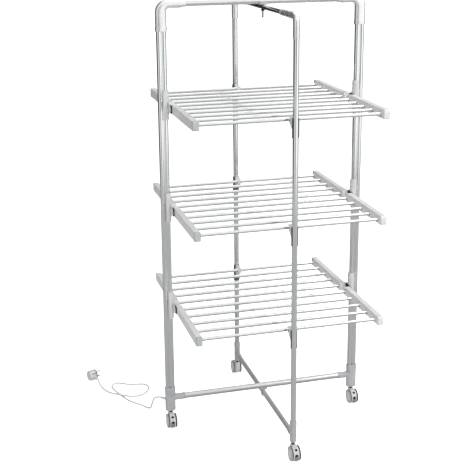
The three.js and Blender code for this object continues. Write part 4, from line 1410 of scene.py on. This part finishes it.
@dataclass
class Wings:
    """The six wings and the hinges that carry them."""

    shop: Workshop
    tiers: int = 3
    channel_x: float = 303.0
    channel_half: float = 10.0
    channel_height: float = 30.0
    reach: float = 320.0
    hinge: float = 26.0
    nose: float = 6.0
    bars: int = 5
    pitch: float = 66.0
    outer_bar: float = 297.0
    bar_radius: float = 5.5
    bar_wall: float = 1.0
    bar_seat: float = 8.0
    collar_radius: float = 8.0
    collar_depth: float = 4.0
    cap: float = 12.0
    leg_to_channel: float = 32.0
    pin_depth: float = 10.0
    lobe: float = 7.5
    grip_inside: float = 8.8
    grip_wall: float = 2.2
    grip_start: float = 2.4
    grip_above: float = 58.0
    grip_below: float = 39.0
    spine_half: float = 6.0
    lug: float = 11.0
    lug_neck: float = 22.0
    yoke_back: float = 18.8
    yoke_wall: float = 2.6
    yoke_half: float = 13.0
    yoke_corner: float = 5.0
    yoke_hollow: float = 7.0

    def build(self) -> None:
        """Make every wing, bracket and yoke."""
        palette = self.shop.palette
        for tier in range(1, self.tiers + 1):
            height = middle(f"tier{tier}_hinge_yoke_left").z
            for end in End:
                word, place = f"tier{tier}_{end.word}", Axis.Z.way * height
                # The rack's cap takes the grey with painted shade; the loose channel's cap is white.
                rack = self.channel(-1, palette.cap)
                self.bar(rack)
                body = f"{word}_wing"
                self.shop.mount(rack, f"{word}_bars", body, f"{word}_rack", place, end.turn)
                form, node = self.channel(1, palette.pale_cap), f"{word}_channel"
                self.shop.mount(form, f"{word}_end_channel", body, node, place, end.turn)
            for side in Side:
                place = Vector((middle(f"leg_{side.word}").x, 0, height))
                for form, kind, node in (
                    (self.bracket(), "bracket", "bracket"), (self.yoke(), "yoke", "hinge_yoke"),
                ):
                    name, node = f"tier{tier}_{side.word}_{kind}", f"tier{tier}_{node}_{side.word}"
                    self.shop.mount(form, name, "main_frame", node, place, side.turn)

    def channel(self, side: int, finish: Material) -> Form:
        """Draw a channel with a cap on its outer end and a collar for each bar.

        Args:
            side: The sign of its place on X, with the wing reaching to -Y from its hinge.
            finish: The cap's material, grey with painted shade on the racks and white on the loose
                channels.

        Returns:
            The channel's form.
        """
        palette = self.shop.palette
        form = Form()
        x, half, tall, nose = side * self.channel_x, self.channel_half, self.channel_height / 2, self.nose
        split, inset = -self.reach + self.cap, 2
        body = arc(-self.hinge, 0, tall, -90, 90, 32) + [(split, tall), (split, -tall)]
        form.plate(Axis.X, body, x - half, x + half, palette.channel, 2.2, 4)
        cap = arc(-self.reach + nose, tall - nose, nose, 90, 180, 10)
        cap += arc(-self.reach + nose, -tall + nose, nose, 180, 270, 10)
        cap += [(split - 0.5, -tall), (split - 0.5, tall)]
        form.plate(Axis.X, cap, x - half, x + half, finish, 2.2, 4)
        inside, outside, low = split + 6, split - 4, tall - inset
        tongue = [(inside, low), (outside, low), (outside, -low), (inside, -low)]
        form.plate(Axis.X, tongue, x - half + inset, x + half - inset, finish, 0.4, 1)
        wide, deep, bar = self.collar_radius, self.collar_depth, self.bar_radius
        collar = [
            (-1, wide), (deep - 1.4, wide), (deep - 0.4, wide - 0.4), (deep, wide - 1.2),
            (deep, bar + 0.9), (deep - 1.2, bar + 0.7), (deep - 1.2, bar - 0.5),
        ]
        ring = [(deep - 1.3, bar + 0.85), (deep - 0.9, bar + 0.85), (deep - 0.9, bar - 0.4)]
        for profile, material in ((collar, palette.elbow), (ring, palette.black)):
            shape = Form()
            shape.turned(Axis.X.way * (x - side * half), Axis.X.way * -side, profile, material, 32)
            self.repeat(form, shape, material)
        return form

    def bar(self, form: Form) -> None:
        """Add the bars to a wing.

        Args:
            form: The wing's form, with the channel at -X.
        """
        near, far = (side * (self.channel_x - self.channel_half + self.bar_seat) for side in (-1, 1))
        radius, bore, finish = self.bar_radius, self.bar_radius - self.bar_wall, self.shop.palette.bar
        profile = [(near, radius), (far - 0.3, radius), (far, radius - 0.3), (far, bore), (far - 5, bore)]
        bar = Form()
        bar.turned(ORIGIN, Axis.X.way, profile, finish, 28)
        self.repeat(form, bar, finish)

    def repeat(self, form: Form, shape: Form, finish: Material) -> None:
        """Copy a shape to the place of every bar.

        Args:
            form: The wing's form, which takes the copies.
            shape: The shape, drawn on the hinge line.
            finish: Its material.
        """
        first, step = Axis.Y.way * -self.outer_bar, Axis.Y.way * self.pitch
        self.shop.copies.repeat(form, shape, finish, self.bars, first, step)

    def bracket(self) -> Form:
        """Draw a hinge bracket: a wrap round the inner lobe of the leg and a plate with two lugs.

        Returns:
            The bracket's form.
        """
        finish = self.shop.palette.bracket
        lobe, inside, wall, start = self.lobe, self.grip_inside, self.grip_wall, self.grip_start
        above, below, half = self.grip_above, self.grip_below, self.spine_half
        outside = inside + wall
        grip = [(start, -outside)] + arc(lobe, 0, outside, -90, 90, 24)
        grip += [(start, outside), (start, inside)] + arc(lobe, 0, inside, 90, -90, 24)
        grip += [(start, -inside)]
        form = Form()
        form.plate(Axis.Z, grip, -below, above, finish, 0.5)
        face = lobe + inside
        spine = [(-half, above - 2), (2 - half, above), (half - 2, above), (half, above - 2)]
        spine += arc(0, half - below, half, 0, -180, 16)
        form.plate(Axis.X, spine, face, face + wall, finish, 0.6)
        form.plate(Axis.X, self.lugs(), face + 0.1, face + wall - 0.1, finish, 0.4)
        for z in (above - 11, above - 27, -below + 12):
            self.screw(form, Vector((face + wall, 0, z)), Axis.X.way, 2.4)
        return form

    def screw(self, form: Form, place: Vector, way: Vector, radius: float) -> None:
        """Add a pan-head screw with a hollow crown in a dark seat.

        Args:
            form: The form that it is added to.
            place: The middle of its seat.
            way: The direction that its head faces.
            radius: The head's radius.
        """
        seat = [(-0.6, radius + 0.7), (0.15, radius + 0.7), (0.15, radius + 0.1), (-0.4, radius)]
        form.turned(place, way, seat, self.shop.palette.black, 28)
        head = [(-0.6, radius), (0.2, radius), (0.6, 0.8 * radius), (0.75, 0.45 * radius)]
        head += [(0.35, 0.4 * radius)]
        form.turned(place, way, head, self.shop.palette.screw, 28)

    def lugs(self) -> Points:
        """Draw a bracket's two lugs, one round each hinge pin.

        Returns:
            Their outline.
        """
        lug, neck, root, foot = self.lug, self.lug_neck, 4.0, 7.4
        half = [(root, -neck), (foot, -neck), (self.hinge - lug / 2, -lug)]
        half += arc(self.hinge, 0, lug, -90, 90, 20)
        half += [(foot, neck), (root, neck)]
        return half + [(-u, v) for u, v in reversed(half)]

    def yoke(self) -> Form:
        """Draw the black yoke that carries the pins of both wings.

        Returns:
            The yoke's form.
        """
        black = self.shop.palette.black
        back, thick, half = self.yoke_back, self.yoke_wall, self.yoke_half
        corner, hollow = self.yoke_corner, self.yoke_hollow
        reach = self.leg_to_channel - self.channel_half + self.pin_depth
        end, top = self.hinge + half - corner, half - corner
        outline = arc(end, -top, corner, -90, 0, 8) + arc(end, top, corner, 0, 90, 8)
        outline += arc(-end, top, corner, 90, 180, 8) + arc(-end, -top, corner, 180, 270, 8)
        form = Form()
        form.plate(Axis.X, outline, back, back + thick, black, 0.6)
        pin = [(back + 0.5, 4.0), (reach - 0.6, 4.0), (reach, 3.4)]
        for y in (-self.hinge, self.hinge):
            form.turned(Axis.Y.way * y, Axis.X.way, pin, black, 32)
        boss = self.hinge - 8
        recess = arc(boss, 0, hollow, 90, 270, 16) + arc(-boss, 0, hollow, 270, 450, 16)
        form.plate(Axis.X, recess, back + 1, back + thick + 0.25, black, 0.2, 1)
        return form


@dataclass
class Casters:
    """Four twin-wheel casters, each a hood that swivels on its stem and a pair of wheels."""

    shop: Workshop
    trail: float = 15.0
    wheel_radius: float = 24.5
    cover_radius: float = 21.6
    cover_rise: float = 1.5
    axle_height: float = 24.52
    axle_radius: float = 2.9
    hood_radius: float = 25.0
    hood_half: float = 10.0
    hood_clearance: float = 5.0
    recess_half: float = 7.0
    recess_depth: float = 3.0
    dot_radius: float = 4.2
    dot_lifts: Range = (49.0, 4.0)
    neck_radii: Range = (11.0, 9.6)
    boss_radius: float = 8.5
    boss_top: float = 50.0
    stem_radius: float = 5.0
    stem_top: float = 80.0
    wheel_inner: float = 11.0
    wheel_outer: float = 17.0

    def build(self) -> None:
        """Make every caster. The rear one trails the other way."""
        self.centre = Vector((0, -self.trail, self.axle_height))
        for name in ("left", "right", "front", "rear"):
            place = middle(f"leg_{name}").to_2d().to_3d()
            turn, caster = (math.pi if name == "rear" else 0), f"caster_{name}"
            hood, wheels, mount = f"{name}_caster_hood", f"{name}_caster_wheels", self.shop.mount
            mount(self.hood(), hood, f"{caster}_swivel", f"{caster}_hood", place, turn)
            mount(self.wheels(), wheels, f"{caster}_wheel_pair", f"{caster}_wheels", place, turn)

    def drum(self) -> Mesh:
        """Make the hood's drum: flat underneath, with an arched pocket in its trailing face.

        Returns:
            The drum's mesh, in metres.
        """
        finish = self.shop.palette.hood
        radius, half, face = self.hood_radius, self.recess_half, -self.trail - self.hood_radius
        flat = math.degrees(math.asin((self.axle_height - self.hood_clearance) / radius))
        outline = arc(-self.trail, self.axle_height, radius, -flat, 180 + flat, 72)
        shape, cutter = Form(), Form()
        shape.plate(Axis.X, outline, -self.hood_half, self.hood_half, finish, 1.6, 4)
        pocket = arc(0, self.axle_height, half, 0, 180, 24) + [(-half, -5), (half, -5)]
        cutter.plate(Axis.Y, pocket, face - 5, face + self.recess_depth, finish, 0.8, 3)
        drum, pocket = shape.finish("drum"), cutter.finish("pocket")
        modifier = drum.modifiers.new("cut", "BOOLEAN")
        modifier.operation = "DIFFERENCE"
        modifier.solver = "EXACT"
        modifier.object = pocket
        mesh = applied(drum)
        for spent in (drum, pocket):
            bpy.data.objects.remove(spent)
        return mesh

    def hood(self) -> Form:
        """Draw a hood: a drum between the wheels with two black bosses, its neck and its stem.

        Returns:
            The hood's form.
        """
        palette = self.shop.palette
        form = Form()
        form.absorb(self.drum(), palette.hood)
        wide, top, boss, stem = self.dot_radius, self.boss_top, self.boss_radius, self.stem_radius
        seats = (self.hood_radius, self.hood_radius - self.recess_depth)
        for angle, seat in zip(self.dot_lifts, seats):
            lift = math.radians(angle)
            way = Vector((0, -math.cos(lift), math.sin(lift)))
            dot = [(seat - 2, wide), (seat + 0.6, wide), (seat + 1.0, wide - 0.4), (seat + 0.7, 2.8)]
            form.turned(self.centre, way, dot, palette.black, 24)
        # A mid-grey plate at the back of the pocket: painted shade in the recess.
        half, back = self.recess_half - 0.5, self.recess_depth - self.trail - self.hood_radius
        arch, foot = arc(0, self.axle_height, half, 0, 180, 20), self.hood_clearance + 2
        arch += [(-half, foot), (half, foot)]
        form.plate(Axis.Y, arch, back - 0.3, back + 1, palette.pocket, 0.1, 1)
        root, throat = self.neck_radii
        neck = [(self.axle_height + 12, root), (top - 3, throat), (top - 1.4, boss)]
        neck += [(top - 0.4, boss - 0.3), (top, boss - 1)]
        form.turned(ORIGIN, Axis.Z.way, neck, palette.hood)
        shaft = [(top - 3, stem), (self.stem_top - 1, stem), (self.stem_top, stem - 1)]
        form.turned(ORIGIN, Axis.Z.way, shaft, palette.black, 32)
        return form

    def wheels(self) -> Form:
        """Draw a pair of wheels on their axle, each a dark inner face, a tyre and a cover. The dark inner
        face is painted shade for the gap next to the hood.

        Returns:
            The wheels' form.
        """
        palette = self.shop.palette
        form = Form()
        inner, outer, wide, thin = self.wheel_inner, self.wheel_outer, self.wheel_radius, self.axle_radius
        form.turned(self.centre, Axis.X.way, [(-inner - 1, thin), (inner + 1, thin)], palette.screw, 28)
        # The black inner face is painted shade in the gap between the wheel and the hood.
        painted_gap_shade_flank = [
            (inner, 4), (inner, wide - 1.8), (inner + 0.4, wide - 0.8), (inner + 1.0, wide - 0.2),
            (inner + 2.2, wide - 0.1), (inner + 2.4, wide - 0.6), (inner + 2.4, 12),
        ]
        tyre = [
            (inner + 2.2, 18), (inner + 2.2, wide - 0.6), (inner + 2.5, wide - 0.1), (inner + 2.9, wide),
            (outer - 2.2, wide), (outer - 1.5, wide - 0.25), (outer - 1.0, wide - 1.0),
            (outer - 0.9, wide - 2.0), (outer - 0.9, 18),
        ]
        for side in (-1, 1):
            way = Axis.X.way * side
            form.turned(self.centre, way, painted_gap_shade_flank, palette.black, 72)
            form.turned(self.centre, way, tyre, palette.tread, 72)
            form.turned(self.centre, way, self.cover(), palette.wheel, 72)
        return form

    def cover(self) -> Points:
        """Draw a wheel's domed cover, with a rim, a shallow groove and a hub.

        Returns:
            Its profile, from the rim to the hub.
        """
        rim, rise, high = self.cover_radius, self.cover_rise, self.wheel_outer
        low = high - rise
        dome = [(high - rise * share * share, rim * share) for share in (0.8, 0.7, 0.6, 0.5, 0.4, 0.3)]
        return [
            (high - 3, rim), (low, rim), (low + 0.35, rim - 0.5), (low + 0.4, rim - 1.4),
            (low + 0.1, rim - 2.0), (low - 0.2, rim - 2.3), (low, rim - 3.0), *dome,
            (high - 0.5, 5.0), (high - 0.1, 4.6), (high, 4.0), (high, 1.0),
        ]


def main() -> None:
    """Dress the airer."""
    logging.basicConfig(level=logging.INFO, format="%(name)s: %(message)s")
    Studio().build()
    shop = Workshop()
    MainsLead(shop).build()
    WideFrame(shop).build()
    NarrowFrame(shop).build()
    Wings(shop).build()
    Casters(shop).build()
    bpy.context.scene.view_settings.view_transform = "Standard"


if __name__ == "__main__":
    main()
